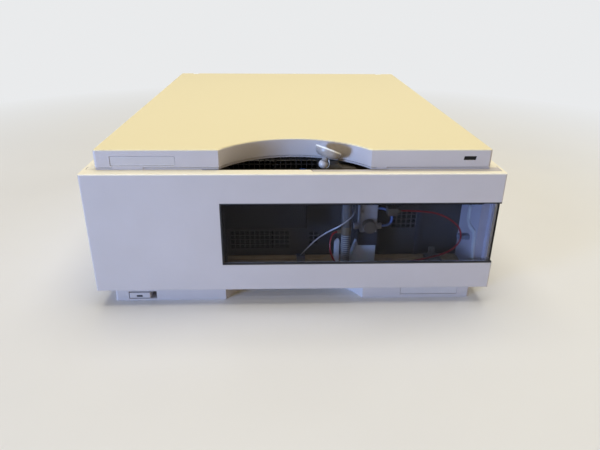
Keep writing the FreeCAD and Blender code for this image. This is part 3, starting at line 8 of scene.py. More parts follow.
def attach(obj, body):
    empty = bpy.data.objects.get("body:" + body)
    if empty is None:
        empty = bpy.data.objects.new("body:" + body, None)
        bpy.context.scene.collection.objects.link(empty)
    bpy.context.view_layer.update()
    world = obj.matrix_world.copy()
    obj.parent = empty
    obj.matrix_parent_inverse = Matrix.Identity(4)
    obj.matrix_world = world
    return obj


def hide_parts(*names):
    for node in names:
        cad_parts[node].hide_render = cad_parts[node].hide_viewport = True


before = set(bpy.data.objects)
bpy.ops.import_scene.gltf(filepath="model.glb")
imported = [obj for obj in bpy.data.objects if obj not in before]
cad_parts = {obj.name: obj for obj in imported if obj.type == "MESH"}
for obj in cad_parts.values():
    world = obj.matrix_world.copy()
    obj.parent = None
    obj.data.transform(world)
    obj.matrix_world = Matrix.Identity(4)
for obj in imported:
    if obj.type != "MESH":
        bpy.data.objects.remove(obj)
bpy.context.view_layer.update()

bl_info = {
    "name": "Diode Array Detector Looks",
    "version": (1, 0, 0),
    "blender": (4, 5, 0),
    "location": "3D View > Sidebar > Detector",
    "description": "Finishes, tubing, small fittings and studio for the packed detector",
    "category": "Object",
}

# Where the front cover's face lies, so that depths can be counted from it as on the drawing
FRONT_Y = -0.2175


# Small helpers shared by every group

# Angles in radians: from where an edge counts as sharp, and up to where faces are shaded as one
SHARP_EDGE = 0.6
SMOOTH_SHADING = math.radians(35)

# A screw head's sizes as shares of its radius. Four pads stand on its disc, and the cross recess is the
# gap between them, with half the gap's width given here.
DISC_RISE = 0.32
GAP_HALF = 0.11
PAD_REACH = 0.86
PAD_FOOT = 0.30
PAD_RISE = 0.34
HEAD_ROUNDING = 0.07

# Steps round a screw head's disc, and along the rim of one pad
DISC_STEPS = 32
PAD_STEPS = 7

# Width in millimetres that rounds a bent strip's edges
STRIP_ROUNDING = 0.25


def srgb(code):
    """Linear colour of a six-digit sRGB code."""
    parts = [int(code[i:i + 2], 16) / 255 for i in (0, 2, 4)]
    return tuple(p / 12.92 if p <= 0.04045 else ((p + 0.055) / 1.055) ** 2.4 for p in parts) + (1.0,)


def per_metre(millimetres):
    """Texture scale of a pattern whose features are this many millimetres across."""
    return 1000.0 / millimetres


def point(x, d, z):
    """A place in metres from millimetres: across, behind the front cover's face, and up."""
    return (x / 1000, FRONT_Y + d / 1000, z / 1000)


def add_node(tree, kind, inputs=None, **properties):
    """Adds one node, sets its properties, and sets or links its inputs by name or number."""
    made = tree.nodes.new(kind)
    for name, value in properties.items():
        setattr(made, name, value)
    for name, value in (inputs or {}).items():
        if isinstance(value, bpy.types.NodeSocket):
            tree.links.new(value, made.inputs[name])
        else:
            made.inputs[name].default_value = value
    return made


def blend_colours(tree, factor, first, second):
    """Mixes two colours, each a value or a socket. Inputs 0, 6 and 7 are factor and colours."""
    return add_node(tree, "ShaderNodeMix", {0: factor, 6: first, 7: second}, data_type="RGBA").outputs[2]


def spread(tree, value, low, high, start=0.3, end=0.7):
    """Maps the middle of a noise on to a range."""
    return add_node(tree, "ShaderNodeMapRange", {"Value": value, "From Min": start, "From Max": end,
                                                 "To Min": low, "To Max": high}).outputs["Result"]


def between(tree, value, low, high):
    """1 where the value lies between two bounds, and 0 elsewhere."""
    return add_node(tree, "ShaderNodeMath", {0: value, 1: (low + high) / 2, 2: (high - low) / 2},
                    operation="COMPARE").outputs[0]


def coordinates(tree, kind="Object"):
    """X, Y and Z of the shaded point in metres, or of its normal."""
    vector = add_node(tree, "ShaderNodeTexCoord").outputs[kind]
    return add_node(tree, "ShaderNodeSeparateXYZ", {"Vector": vector}).outputs


def ray_is(tree, *kinds):
    """1 for rays of one of the named kinds, such as Camera or Glossy, and 0 for all others."""
    rays = add_node(tree, "ShaderNodeLightPath").outputs
    chosen = rays["Is %s Ray" % kinds[0]]
    for kind in kinds[1:]:
        chosen = add_node(tree, "ShaderNodeMath", {0: chosen, 1: rays["Is %s Ray" % kind]},
                          operation="MAXIMUM").outputs[0]
    return chosen


def finish(name, colour, second, patch_mm=40.0, roughness=0.5, uneven=0.06, grain_mm=0.6, grain_depth_mm=0.01,
           stretch=(1.0, 1.0, 1.0), grain="noise", **sockets):
    """A material with colour drifting in patches, uneven gloss and a fine relief, at real sizes."""
    made = bpy.data.materials.new(name)
    made.use_nodes = True
    tree = made.node_tree
    shader = tree.nodes["Principled BSDF"]
    here = add_node(tree, "ShaderNodeTexCoord").outputs["Object"]
    drawn = add_node(tree, "ShaderNodeMapping", {"Vector": here, "Scale": stretch}).outputs["Vector"]
    patches = add_node(tree, "ShaderNodeTexNoise", {"Vector": drawn, "Scale": per_metre(patch_mm),
                                                    "Detail": 4.0, "Roughness": 0.6}).outputs["Fac"]
    if grain == "noise":
        relief = add_node(tree, "ShaderNodeTexNoise", {"Vector": drawn, "Scale": per_metre(grain_mm),
                                                       "Detail": 2.0}).outputs["Fac"]
    else:
        relief = add_node(tree, "ShaderNodeTexVoronoi", {"Vector": drawn, "Scale": per_metre(grain_mm)},
                          feature=grain).outputs["Distance"]
    tone = blend_colours(tree, spread(tree, patches, 0.0, 1.0), srgb(colour), srgb(second))
    tree.links.new(tone, shader.inputs["Base Color"])
    gloss = spread(tree, relief, roughness - uneven, roughness + uneven)
    tree.links.new(gloss, shader.inputs["Roughness"])
    raised = add_node(tree, "ShaderNodeBump", {"Height": relief, "Strength": 1.0,
                                               "Distance": grain_depth_mm / 1000})
    tree.links.new(raised.outputs["Normal"], shader.inputs["Normal"])
    for socket, value in sockets.items():
        shader.inputs[socket.replace("_", " ")].default_value = value
    return made


def dress(material, *nodes):
    """Gives the CAD nodes a finish by their material slots."""
    for name in nodes:
        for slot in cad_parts[name].material_slots:
            slot.material = material


def smooth_tube(name, points, radius_mm, material, node=None, body="root"):
    """A tube on one smooth NURBS line through the air, which may stand for a CAD node."""
    data = bpy.data.curves.new(name, "CURVE")
    data.dimensions = "3D"
    data.bevel_depth = radius_mm / 1000
    data.bevel_resolution = 4
    data.resolution_u = 10
    data.use_fill_caps = True
    spline = data.splines.new("NURBS")
    spline.points.add(len(points) - 1)
    for control, place in zip(spline.points, points):
        control.co = (*point(*place), 1.0)
    spline.order_u = 3
    spline.use_endpoint_u = True
    made = bpy.data.objects.new(name, data)
    bpy.context.scene.collection.objects.link(made)
    data.materials.append(material)
    if node:
        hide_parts(node)
    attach(made, body)
    return made


def keep_mesh(name, built, material, body):
    """Turns a bmesh into an object with smooth curved faces that rides on a body."""
    bmesh.ops.recalc_face_normals(built, faces=built.faces)
    data = bpy.data.meshes.new(name)
    built.to_mesh(data)
    built.free()
    data.materials.append(material)
    for face in data.polygons:
        face.use_smooth = True
    data.set_sharp_from_angle(angle=SMOOTH_SHADING)
    made = bpy.data.objects.new(name, data)
    bpy.context.scene.collection.objects.link(made)
    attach(made, body)
    return made


def rounded(built, width_mm):
    """Rounds every sharp edge of a closed form by a width in millimetres."""
    sharp = [e for e in built.edges if len(e.link_faces) == 2 and e.calc_face_angle(0) > SHARP_EDGE]
    bmesh.ops.bevel(built, geom=sharp, offset=width_mm / 1000, segments=2, affect="EDGES")


def block(name, low, high, material, slot, round_mm=0.3, body="root"):
    """A box with rounded edges between two corners in millimetres."""
    built = bmesh.new()
    bmesh.ops.create_cube(built, size=1.0)
    size = [(b - a) / 1000 for a, b in zip(low, high)]
    centre = Vector(point(*[(a + b) / 2 for a, b in zip(low, high)]))
    for vertex in built.verts:
        vertex.co = centre + Vector([c * wide for c, wide in zip(vertex.co, size)])
    rounded(built, round_mm)
    return keep_mesh(name, built, material, body)


def raise_outline(built, outline, rise):
    """Raises a flat outline of points into a closed solid."""
    face = built.faces.new([built.verts.new(place) for place in outline])
    grown = bmesh.ops.extrude_face_region(built, geom=[face])["geom"]
    bmesh.ops.translate(built, verts=[g for g in grown if isinstance(g, bmesh.types.BMVert)], vec=rise)


def ring(radius, start, end, count):
    """Places on an arc from one angle up to the next, in the plane."""
    angles = [start + (end - start) * i / count for i in range(count)]
    return [(radius * math.cos(a), radius * math.sin(a)) for a in angles]


def screw_head(name, place, facing, radius_mm, material, body="root"):
    """A pan head with a cross recess, its rim on a face and its top towards facing."""
    built = bmesh.new()
    away = Vector(facing).normalized()
    side = away.orthogonal().normalized()
    up = away.cross(side)
    foot = Vector(point(*place))
    r = radius_mm / 1000
    outline = [foot + side * u + up * v for u, v in ring(r, 0, 2 * math.pi, DISC_STEPS)]
    raise_outline(built, outline, away * r * DISC_RISE)
    half = GAP_HALF * r
    reach = PAD_REACH * r
    pad_foot = foot + away * r * PAD_FOOT
    lean = math.asin(half / reach)
    arc = ring(reach, lean, math.pi / 2 - lean, PAD_STEPS) + [(half, reach * math.cos(lean))]
    for quarter in range(4):
        cos, sin = math.cos(quarter * math.pi / 2), math.sin(quarter * math.pi / 2)
        turned = [(u * cos - v * sin, u * sin + v * cos) for u, v in [(half, half)] + arc]
        raise_outline(built, [pad_foot + side * u + up * v for u, v in turned], away * r * PAD_RISE)
    rounded(built, radius_mm * HEAD_ROUNDING)
    return keep_mesh(name, built, material, body)


def bent_strip(name, centre_line, width_mm, x0, x1, material, slot, body="root"):
    """A flat strip that follows a line of (depth, height) places and lies across from x0 to x1."""
    line = [Vector(place) for place in centre_line]
    left, right = [], []
    for i, place in enumerate(line):
        before = line[max(i - 1, 0)]
        after = line[min(i + 1, len(line) - 1)]
        along = (after - before).normalized()
        across = Vector((-along.y, along.x)) * width_mm / 2
        left.append(place + across)
        right.append(place - across)
    built = bmesh.new()
    outline = [Vector(point(x0, d, z)) for d, z in left + right[::-1]]
    raise_outline(built, outline, Vector(((x1 - x0) / 1000, 0, 0)))
    rounded(built, STRIP_ROUNDING)
    return keep_mesh(name, built, material, body)


# Finishes of the case

# Heights in metres between which the cream of upward faces sets in, partly yellowed plastic and partly
# painted warm light from above, and between which the paler cream lower down, a painted highlight on the
# ledge, turns into the lid's deeper cream, painted warm light on its top
YELLOWING_AND_TOP_LIGHT_LEVELS = (0.05, 0.11)
LID_LEVELS = (0.128, 0.136)

# How far a face has to look up before its cream, partly yellowed plastic and partly painted warm light, sets
# in at all, and fully
UPWARD_SHARES = (0.15, 0.85)


def textured_case_plastic(name, tint):
    """Old instrument ABS: a fine spark-eroded grain that dulls the gloss, greyish on upright
    faces; upward faces are cream, partly yellowed plastic and partly painted warm light from above."""
    made = finish(name, "C0B9BA", "BAB3B3", patch_mm=70, roughness=0.52, uneven=0.05,
                  grain_mm=0.7, grain_depth_mm=0.015)
    tree = made.node_tree
    shader = tree.nodes["Principled BSDF"]
    upright = shader.inputs["Base Color"].links[0].from_socket
    aged_and_lit = spread(tree, coordinates(tree, "Normal")["Z"], 0.0, tint, *UPWARD_SHARES)
    level = coordinates(tree)["Z"]
    in_light = spread(tree, level, 0.0, 1.0, *YELLOWING_AND_TOP_LIGHT_LEVELS)
    aged_and_lit = add_node(tree, "ShaderNodeMath", {0: aged_and_lit, 1: in_light}, operation="MULTIPLY").outputs[0]
    on_lid = spread(tree, level, 0.0, 1.0, *LID_LEVELS)
    # Paler cream below the lid: a painted highlight on the ledge. Deeper cream on the lid: partly yellowed
    # plastic, partly painted warm light.
    shade = blend_colours(tree, on_lid, srgb("F4EEDA"), srgb("EADFB6"))
    tree.links.new(blend_colours(tree, aged_and_lit, upright, shade), shader.inputs["Base Color"])
    return made


# The funnel's mouth in metres, and the way it faces
FUNNEL_MOUTH = Vector((0.0286, -0.1895, 0.1358))
FUNNEL_AXIS = Vector((0.354, 0.258, 0.899))

# Depths below the mouth, in metres, between which the cup turns into the rim's painted highlight, and the
# ball into the cup
RIM_HIGHLIGHT_BAND = (0.0014, 0.0011)
BALL_BAND = (0.0115, 0.0105)


def funnel_acetal():
    """Greyed acetal with a painted highlight on its thin rim, over a paler ball."""
    made = finish("grey_acetal", "A29C99", "98928F", patch_mm=9, roughness=0.3, uneven=0.05, grain_mm=1.2,
                  grain_depth_mm=0.006)
    tree = made.node_tree
    shader = tree.nodes["Principled BSDF"]
    here = add_node(tree, "ShaderNodeTexCoord").outputs["Object"]
    along = add_node(tree, "ShaderNodeVectorMath", {0: here, 1: FUNNEL_AXIS},
                     operation="DOT_PRODUCT").outputs["Value"]
    mouth = FUNNEL_MOUTH.dot(FUNNEL_AXIS)
    cup = shader.inputs["Base Color"].links[0].from_socket
    # The pale band at the mouth is a painted highlight on the rim
    rim = spread(tree, along, 0.0, 1.0, *[mouth - depth for depth in RIM_HIGHLIGHT_BAND])
    ball = spread(tree, along, 1.0, 0.0, *[mouth - depth for depth in BALL_BAND])
    tone = blend_colours(tree, ball, blend_colours(tree, rim, cup, srgb("F6F1E4")), srgb("CFCBCC"))
    tree.links.new(tone, shader.inputs["Base Color"])
    return made


class CaseSettings(bpy.types.PropertyGroup):
    # The cream this sets is partly yellowed plastic and partly painted warm light on upward faces
    yellowing_and_top_light: bpy.props.FloatProperty(
        name="Yellowing", description="How far the upward faces have turned cream", default=1.0,
        min=0.0, max=1.0, subtype="FACTOR")


class DETECTOR_OT_case(bpy.types.Operator):
    """Give the moulded case, its plates and its catches their finishes"""
    bl_idname = "detector.case"
    bl_label = "Case finishes"

    def execute(self, context):
        settings = context.scene.detector_case
        dress(textured_case_plastic("yellowed_case_plastic", settings.yellowing_and_top_light), "base_housing",
              "side_panel_left", "side_panel_right", "top_cover", "front_cover", "power_button",
              "release_button_left", "release_button_right")
        dress(textured_case_plastic("grey_case_plastic", tint=0.15), "front_rail")
        dress(finish("glossy_acetal", "FDFDFE", "F8F9FC", patch_mm=12, roughness=0.24, uneven=0.05,
                     grain_mm=1.5, grain_depth_mm=0.006, Subsurface_Weight=0.15),
              "top_cover_clips", "drain_block")
        dress(funnel_acetal(), "leak_funnel")
        dress(finish("satin_label_film", "C3BDBD", "BDB7B7", patch_mm=25, roughness=0.38, uneven=0.06,
                     grain_mm=0.5, grain_depth_mm=0.004), "name_plate", "serial_plate")
        dress(finish("glossy_black_lens", "0C0C10", "08080B", patch_mm=6, roughness=0.2, uneven=0.03,
                     grain_mm=1.0, grain_depth_mm=0.003, Specular_IOR_Level=0.2), "status_light_pipe")
        dress(finish("clear_light_pipe", "20222A", "2A2C36", patch_mm=10, roughness=0.1, uneven=0.03,
                     grain_mm=2.0, grain_depth_mm=0.003), "power_light_pipe")
        return {"FINISHED"}


# The window and its seal

# How much more blue light than red the pane's film lets through
FILM_BLUE = 1.1


def smoked_acrylic(tint):
    """Polished tinted acrylic: the compartment shows through it darkly and the room lies on it
    as a faint reflection. Shadow rays pass as through plain tinted film, so light gets in."""
    made = finish("smoked_acrylic", "B2B2B6", "ABABAF", patch_mm=90, roughness=0.03, uneven=0.01, grain_mm=30,
                  grain_depth_mm=0.002, Transmission_Weight=1.0, IOR=1.49,
                  Specular_Tint=(0.16, 0.16, 0.18, 1.0))
    tree = made.node_tree
    shader = tree.nodes["Principled BSDF"]
    film = add_node(tree, "ShaderNodeBsdfTransparent", {"Color": (tint, tint, tint * FILM_BLUE, 1.0)})
    mixed = add_node(tree, "ShaderNodeMixShader", {0: ray_is(tree, "Shadow"), 1: shader.outputs["BSDF"],
                                                   2: film.outputs["BSDF"]})
    tree.links.new(mixed.outputs["Shader"], tree.nodes["Material Output"].inputs["Surface"])
    return made


class WindowSettings(bpy.types.PropertyGroup):
    clearness: bpy.props.FloatProperty(
        name="Clearness", description="Share of the light that each face of the pane lets in", default=0.9,
        min=0.0, max=1.0, subtype="FACTOR")


class DETECTOR_OT_window(bpy.types.Operator):
    """Give the window its tinted acrylic and the seal its rubber"""
    bl_idname = "detector.window"
    bl_label = "Window finishes"

    def execute(self, context):
        dress(smoked_acrylic(context.scene.detector_window.clearness), "front_window")
        dress(finish("black_rubber", "1C1B1E", "131316", patch_mm=15, roughness=0.6, uneven=0.08,
                     grain_mm=0.8, grain_depth_mm=0.01), "window_seal", "optical_dampers")
        return {"FINISHED"}


# Pieces in the front compartment

# The hose's first groove above the floor, and how far apart the grooves are, in metres
HOSE_FOOT = 0.0176
HOSE_PITCH = 0.002

# The middle of a groove, and half its width, as shares of the pitch
GROOVE_MIDDLE = 0.75
GROOVE_HALF = 0.3


def corrugated_polyethylene():
    """Milky hose whose grooves hold a grey shadow, so that the ribs read from afar."""
    made = finish("corrugated_polyethylene", "D0CDC2", "C2BFB4", patch_mm=8, roughness=0.42, uneven=0.07,
                  grain_mm=0.8, grain_depth_mm=0.01)
    tree = made.node_tree
    shader = tree.nodes["Principled BSDF"]
    turns = add_node(tree, "ShaderNodeMath", {0: coordinates(tree)["Z"], 1: HOSE_FOOT},
                     operation="SUBTRACT").outputs[0]
    turns = add_node(tree, "ShaderNodeMath", {0: turns, 1: HOSE_PITCH}, operation="DIVIDE").outputs[0]
    share = add_node(tree, "ShaderNodeMath", {0: turns}, operation="FRACT").outputs[0]
    depth = add_node(tree, "ShaderNodeMath", {0: share, 1: GROOVE_MIDDLE, 2: GROOVE_HALF},
                     operation="COMPARE").outputs[0]
    ribs = shader.inputs["Base Color"].links[0].from_socket
    tree.links.new(blend_colours(tree, depth, ribs, srgb("4A4D55")), shader.inputs["Base Color"])
    return made


# The punched fields of the wall behind the window: left, right, foot and top, in metres
PUNCHED_FIELDS = ((-0.061, -0.004, 0.0282, 0.0472), (0.0146, 0.0241, 0.032, 0.0462),
                  (0.0938, 0.1176, 0.0489, 0.0679))


def punched_painted_sheet(grain_mm):
    """Dark painted sheet whose punched fields are given a lighter grey."""
    made = finish("grey_painted_sheet", "504D4A", "434140", patch_mm=60, roughness=0.45, uneven=0.08,
                  grain_mm=grain_mm, grain_depth_mm=0.02)
    tree = made.node_tree
    shader = tree.nodes["Principled BSDF"]
    place = coordinates(tree)
    tone = shader.inputs["Base Color"].links[0].from_socket
    for left, right, foot, top in PUNCHED_FIELDS:
        across = between(tree, place["X"], left, right)
        upward = between(tree, place["Z"], foot, top)
        inside = add_node(tree, "ShaderNodeMath", {0: across, 1: upward}, operation="MULTIPLY").outputs[0]
        tone = blend_colours(tree, inside, tone, srgb("6C6967"))
    tree.links.new(tone, shader.inputs["Base Color"])
    return made


# Plain painted sheets: name and colours of the finish, size of its patches in millimetres, and node
PAINTED_SHEETS = (
    ("dark_painted_sheet", "24211F", "1C1A18", 60, "lamp_cover"),
    ("slate_painted_sheet", "48464A", "3E3C40", 30, "cell_base"),
    # The hood's light brown is painted warm light on a dark sheet that lies in the lid's shade
    ("brown_painted_sheet", "8A8070", "766D5F", 60, "compartment_hood"),
)


class CompartmentSettings(bpy.types.PropertyGroup):
    paint_grain: bpy.props.FloatProperty(
        name="Paint grain", description="Size of the orange peel on the dark paint, in millimetres",
        default=1.2, min=0.2, max=5.0)


class DETECTOR_OT_compartment(bpy.types.Operator):
    """Give the sheets, blocks and drain pieces behind the window their finishes"""
    bl_idname = "detector.compartment"
    bl_label = "Compartment finishes"

    def execute(self, context):
        settings = context.scene.detector_compartment
        dress(punched_painted_sheet(settings.paint_grain), "front_wall")
        for name, colour, second, patch_mm, node in PAINTED_SHEETS:
            dress(finish(name, colour, second, patch_mm=patch_mm, roughness=0.45, uneven=0.08,
                         grain_mm=settings.paint_grain, grain_depth_mm=0.02), node)
        dress(finish("zinc_plated_sheet", "B9B5AA", "9C978B", patch_mm=25, roughness=0.32, uneven=0.1,
                     grain_mm=1.0, grain_depth_mm=0.004, stretch=(0.2, 1.0, 1.0), Metallic=1.0),
              "cabinet_tray", "cabinet_lid", "safety_lever")
        dress(finish("yellow_passivated_sheet", "E4D0AC", "CCB892", patch_mm=60, roughness=0.38, uneven=0.04,
                     grain_mm=8.0, grain_depth_mm=0.002, Metallic=0.5), "leak_pan")
        dress(finish("clear_tube", "B0ACA6", "A29E98", patch_mm=8, roughness=0.14, uneven=0.04, grain_mm=2.0,
                     grain_depth_mm=0.006, Transmission_Weight=0.6, IOR=1.45), "drain_riser")
        dress(finish("blue_thumb_screw", "2A4C9A", "223F86", patch_mm=6, roughness=0.28, uneven=0.05,
                     grain_mm=0.8, grain_depth_mm=0.006), "lamp_cover_knob")
        dress(finish("tan_nylon", "8C7A5C", "7A6A50", patch_mm=9, roughness=0.45, uneven=0.06, grain_mm=0.6,
                     grain_depth_mm=0.01), "drain_coupling")
        dress(finish("brown_nylon", "5E574A", "514A3F", patch_mm=9, roughness=0.5, uneven=0.06, grain_mm=0.6,
                     grain_depth_mm=0.01), "funnel_holder")
        dress(corrugated_polyethylene(), "drain_hose")
        dress(finish("grey_polyethylene", "8A8F9B", "7A7F8C", patch_mm=8, roughness=0.42, uneven=0.07,
                     grain_mm=0.8, grain_depth_mm=0.01), "tube_clips")
        dress(finish("grey_sensor_resin", "8E887C", "7E786E", patch_mm=8, roughness=0.4, uneven=0.07,
                     grain_mm=0.8, grain_depth_mm=0.01), "leak_sensor")
        dress(finish("coated_aluminium_block", "D6CEC8", "BCB5AE", patch_mm=10, roughness=0.42, uneven=0.1,
                     grain_mm=0.5, grain_depth_mm=0.012, stretch=(1.0, 1.0, 0.15), Metallic=0.15),
              "cell_holder")
        dress(finish("dull_turned_metal", "84745E", "6E604C", patch_mm=8, roughness=0.42, uneven=0.08,
                     grain_mm=0.5, grain_depth_mm=0.012, Metallic=0.3), "capillary_union", "cell_screw")
        return {"FINISHED"}


# Capillaries that run through the compartment

RED_ROUTE = ((96.6, 38.5, 75.2), (110.6, 38.5, 75.2), (132, 34, 74.4), (147, 29, 66), (151.8, 28, 57.6),
             (151.8, 28, 48), (143, 27, 38.6), (124, 27, 32.4), (98, 28, 27), (74, 26, 24.2), (54, 24, 22.6),
             (38.5, 24, 27.6), (32.2, 26, 40), (32.6, 30, 50.6), (35.6, 33, 57), (39.3, 33, 57))
BLUE_ROUTE = ((82, 48, 56), (88, 48, 56), (92, 46, 62.6), (89.6, 45, 69.8), (83.6, 45, 75.2), (77, 45, 75.2))
STEEL_ROUTE = ((7, 52, 24), (12, 45, 34), (21, 36, 49), (31, 26, 61), (41, 21, 68.6), (54.5, 27, 77.4),
               (55, 46, 80.4), (61.2, 46, 80.4))


class TubingSettings(bpy.types.PropertyGroup):
    red_radius: bpy.props.FloatProperty(
        name="Red radius", description="Radius of the red outlet capillary, in millimetres",
        default=0.8, min=0.2)
    blue_radius: bpy.props.FloatProperty(
        name="Blue radius", description="Radius of the short blue tube, in millimetres", default=1.1, min=0.2)
    steel_radius: bpy.props.FloatProperty(
        name="Steel radius", description="Radius of the steel inlet capillary, in millimetres", default=0.6,
        min=0.2)


class DETECTOR_OT_tubing(bpy.types.Operator):
    """Run the three capillaries as smooth tubes from fitting to fitting"""
    bl_idname = "detector.tubing"
    bl_label = "Capillaries"

    def execute(self, context):
        settings = context.scene.detector_tubing
        smooth_tube("red_capillary_run", RED_ROUTE, settings.red_radius,
                    finish("red_polymer_tube", "B03030", "9A2428", patch_mm=5, roughness=0.25, uneven=0.05,
                           grain_mm=1.0, grain_depth_mm=0.004), "outlet_capillary")
        smooth_tube("blue_tube_run", BLUE_ROUTE, settings.blue_radius,
                    finish("blue_polymer_tube", "8FA9E6", "7C97DA", patch_mm=5, roughness=0.25, uneven=0.05,
                           grain_mm=1.0, grain_depth_mm=0.004), "blue_capillary")
        smooth_tube("steel_capillary_run", STEEL_ROUTE, settings.steel_radius,
                    finish("drawn_steel_tube", "F2F3F5", "E2E4E8", patch_mm=4, roughness=0.38, uneven=0.06,
                           grain_mm=0.4, grain_depth_mm=0.003, Metallic=0.6), "steel_capillary")
        return {"FINISHED"}


# The drain's white moulding, and small fittings behind the window that no solid stands for, in millimetres

# The white moulding's rounding, and its forms: depth of the front, thickness, and outline across and up
DRAIN_ROUNDING = 0.35
DRAIN_FORMS = (
    (42.0, 14.4, ((52.1, 17.6), (77.0, 17.6), (77.0, 38.8), (58.9, 38.8))),
    (33.0, 3.0, ((36.8, 17.6), (41.6, 17.6), (41.6, 48.0), (39.8, 50.0), (36.8, 46.0))),
    (36.0, 8.0, ((36.8, 17.6), (41.4, 17.6), (41.4, 19.6), (36.8, 19.6))),
    (42.0, 2.0, ((41.4, 17.6), (52.6, 17.6), (52.6, 19.6), (41.4, 19.6))),
)

# The latch strip on the right cheek: its line as depth and height, and where it lies across. The dark strip
# behind it, a painted shadow of the latch strip, has the same line, a step further on.
LATCH_LINE = ((34.7, 81.2), (35.3, 68.6), (29.3, 64.0), (17.4, 63.6), (14.5, 50.0), (12.4, 38.3))
LATCH_SPAN = (158.2, 159.9)
LATCH_SHADOW_STEP = (4.0, 1.0)
LATCH_SHADOW_SPAN = (159.3, 159.9)
LATCH_SHADOW_WIDTH = 3.2

# Two opposite corners of the strips round the pane and of the one on the wall. The black strip at the pane's
# top is a painted shadow, and the pale bead at its foot a painted highlight.
PANE_TOP_SHADOW_STRIP = ((-61.0, 3.1, 95.0), (158.0, 6.5, 99.5))
PANE_LOWER_HIGHLIGHT_BEAD = ((-60.9, 3.05, 41.2), (166.0, 4.2, 42.3))
PANE_LEFT_STRIP = ((-61.0, 3.1, 43.0), (-58.2, 4.4, 95.0))
WALL_UPRIGHT_STRIP = ((117.5, 56.6, 21.0), (122.5, 58.0, 103.0))

# Bent wire under the funnel, as across, depth and height
BAIL_RADIUS = 0.45
BAIL_ROUTE = ((28.6, 24.5, 127.6), (29.2, 23.6, 124.0), (28.2, 23.4, 121.4), (26.2, 23.6, 120.6))


def drain_ramp(material):
    """The white moulding beside the hose: a slanted ramp, a thin lip in front and a low foot between them."""
    built = bmesh.new()
    for front, thick, outline in DRAIN_FORMS:
        raise_outline(built, [Vector(point(x, front, z)) for x, z in outline], Vector((0, thick / 1000, 0)))
    rounded(built, DRAIN_ROUNDING)
    made = keep_mesh("drain_ramp", built, material, "root")
    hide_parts("drain_block")


class FittingsSettings(bpy.types.PropertyGroup):
    strip_width: bpy.props.FloatProperty(
        name="Latch strip", description="Width of the bent strip on the right cheek, in millimetres",
        default=5.0, min=1.0)


class DETECTOR_OT_fittings(bpy.types.Operator):
    """Add the drain's moulding, the cheek's latch strip with its painted shadow, the strips round the pane,
    among them a painted shadow at its top and a painted highlight at its foot, and the funnel's bail
    """
    bl_idname = "detector.fittings"
    bl_label = "Small fittings"

    def execute(self, context):
        settings = context.scene.detector_fittings
        moulded = finish("moulded_strip", "DAD8D0", "CCCAC2", patch_mm=12, roughness=0.4, uneven=0.06,
                         grain_mm=0.8, grain_depth_mm=0.01)
        # Pale bead that stands for light caught on the pane's lower edge: a painted highlight
        bead = finish("clear_bead", "CCCCD0", "BEBEC4", patch_mm=12, roughness=0.3, uneven=0.05, grain_mm=0.8,
                      grain_depth_mm=0.006)
        dull = finish("dull_brown_strip", "33302D", "2B2926", patch_mm=12, roughness=0.5, uneven=0.06,
                      grain_mm=1.0, grain_depth_mm=0.02)
        # Black strip that stands for the shadow along the pane's top: painted shade
        foam = finish("black_foam_strip", "131316", "0E0E10", patch_mm=5, roughness=0.9, uneven=0.05,
                      grain_mm=0.9, grain_depth_mm=0.08)
        painted = finish("grey_painted_strip", "4A4A4F", "3F3F44", patch_mm=20, roughness=0.5, uneven=0.06,
                         grain_mm=1.0, grain_depth_mm=0.02)
        shade = finish("shadow_grey_strip", "33343C", "2A2B32", patch_mm=20, roughness=0.5, uneven=0.06,
                       grain_mm=1.0, grain_depth_mm=0.02)
        drain_ramp(bpy.data.materials["glossy_acetal"])
        bent_strip("cheek_latch_strip", LATCH_LINE, settings.strip_width, *LATCH_SPAN, moulded,
                   "case_plastic")
        # Dark strip a step behind the latch strip: its painted shadow
        shadow_line = [(d + LATCH_SHADOW_STEP[0], z + LATCH_SHADOW_STEP[1]) for d, z in LATCH_LINE]
        bent_strip("cheek_latch_slot", shadow_line, LATCH_SHADOW_WIDTH, *LATCH_SHADOW_SPAN, shade, "case_plastic")
        block("pane_upper_strip", *PANE_TOP_SHADOW_STRIP, foam, "packing_foam", 0.4, "front_cover")
        block("pane_lower_bead", *PANE_LOWER_HIGHLIGHT_BEAD, bead, "clear_plastic", 0.3, "front_cover")
        block("pane_left_strip", *PANE_LEFT_STRIP, dull, "dark_sheet", 0.2, "front_cover")
        block("wall_upright_strip", *WALL_UPRIGHT_STRIP, painted, "dark_sheet", 0.3)
        smooth_tube("funnel_bail", BAIL_ROUTE, BAIL_RADIUS,
                    finish("clear_bail", "E2E6EC", "D4D9E2", patch_mm=4, roughness=0.2, uneven=0.04,
                           grain_mm=0.8, grain_depth_mm=0.004))
        return {"FINISHED"}


# Cabinet, optics and electronics

class CabinetSettings(bpy.types.PropertyGroup):
    bead_size: bpy.props.FloatProperty(
        name="Foam beads", description="Size of the fused beads of the foam, in millimetres",
        default=4.0, min=1.0)


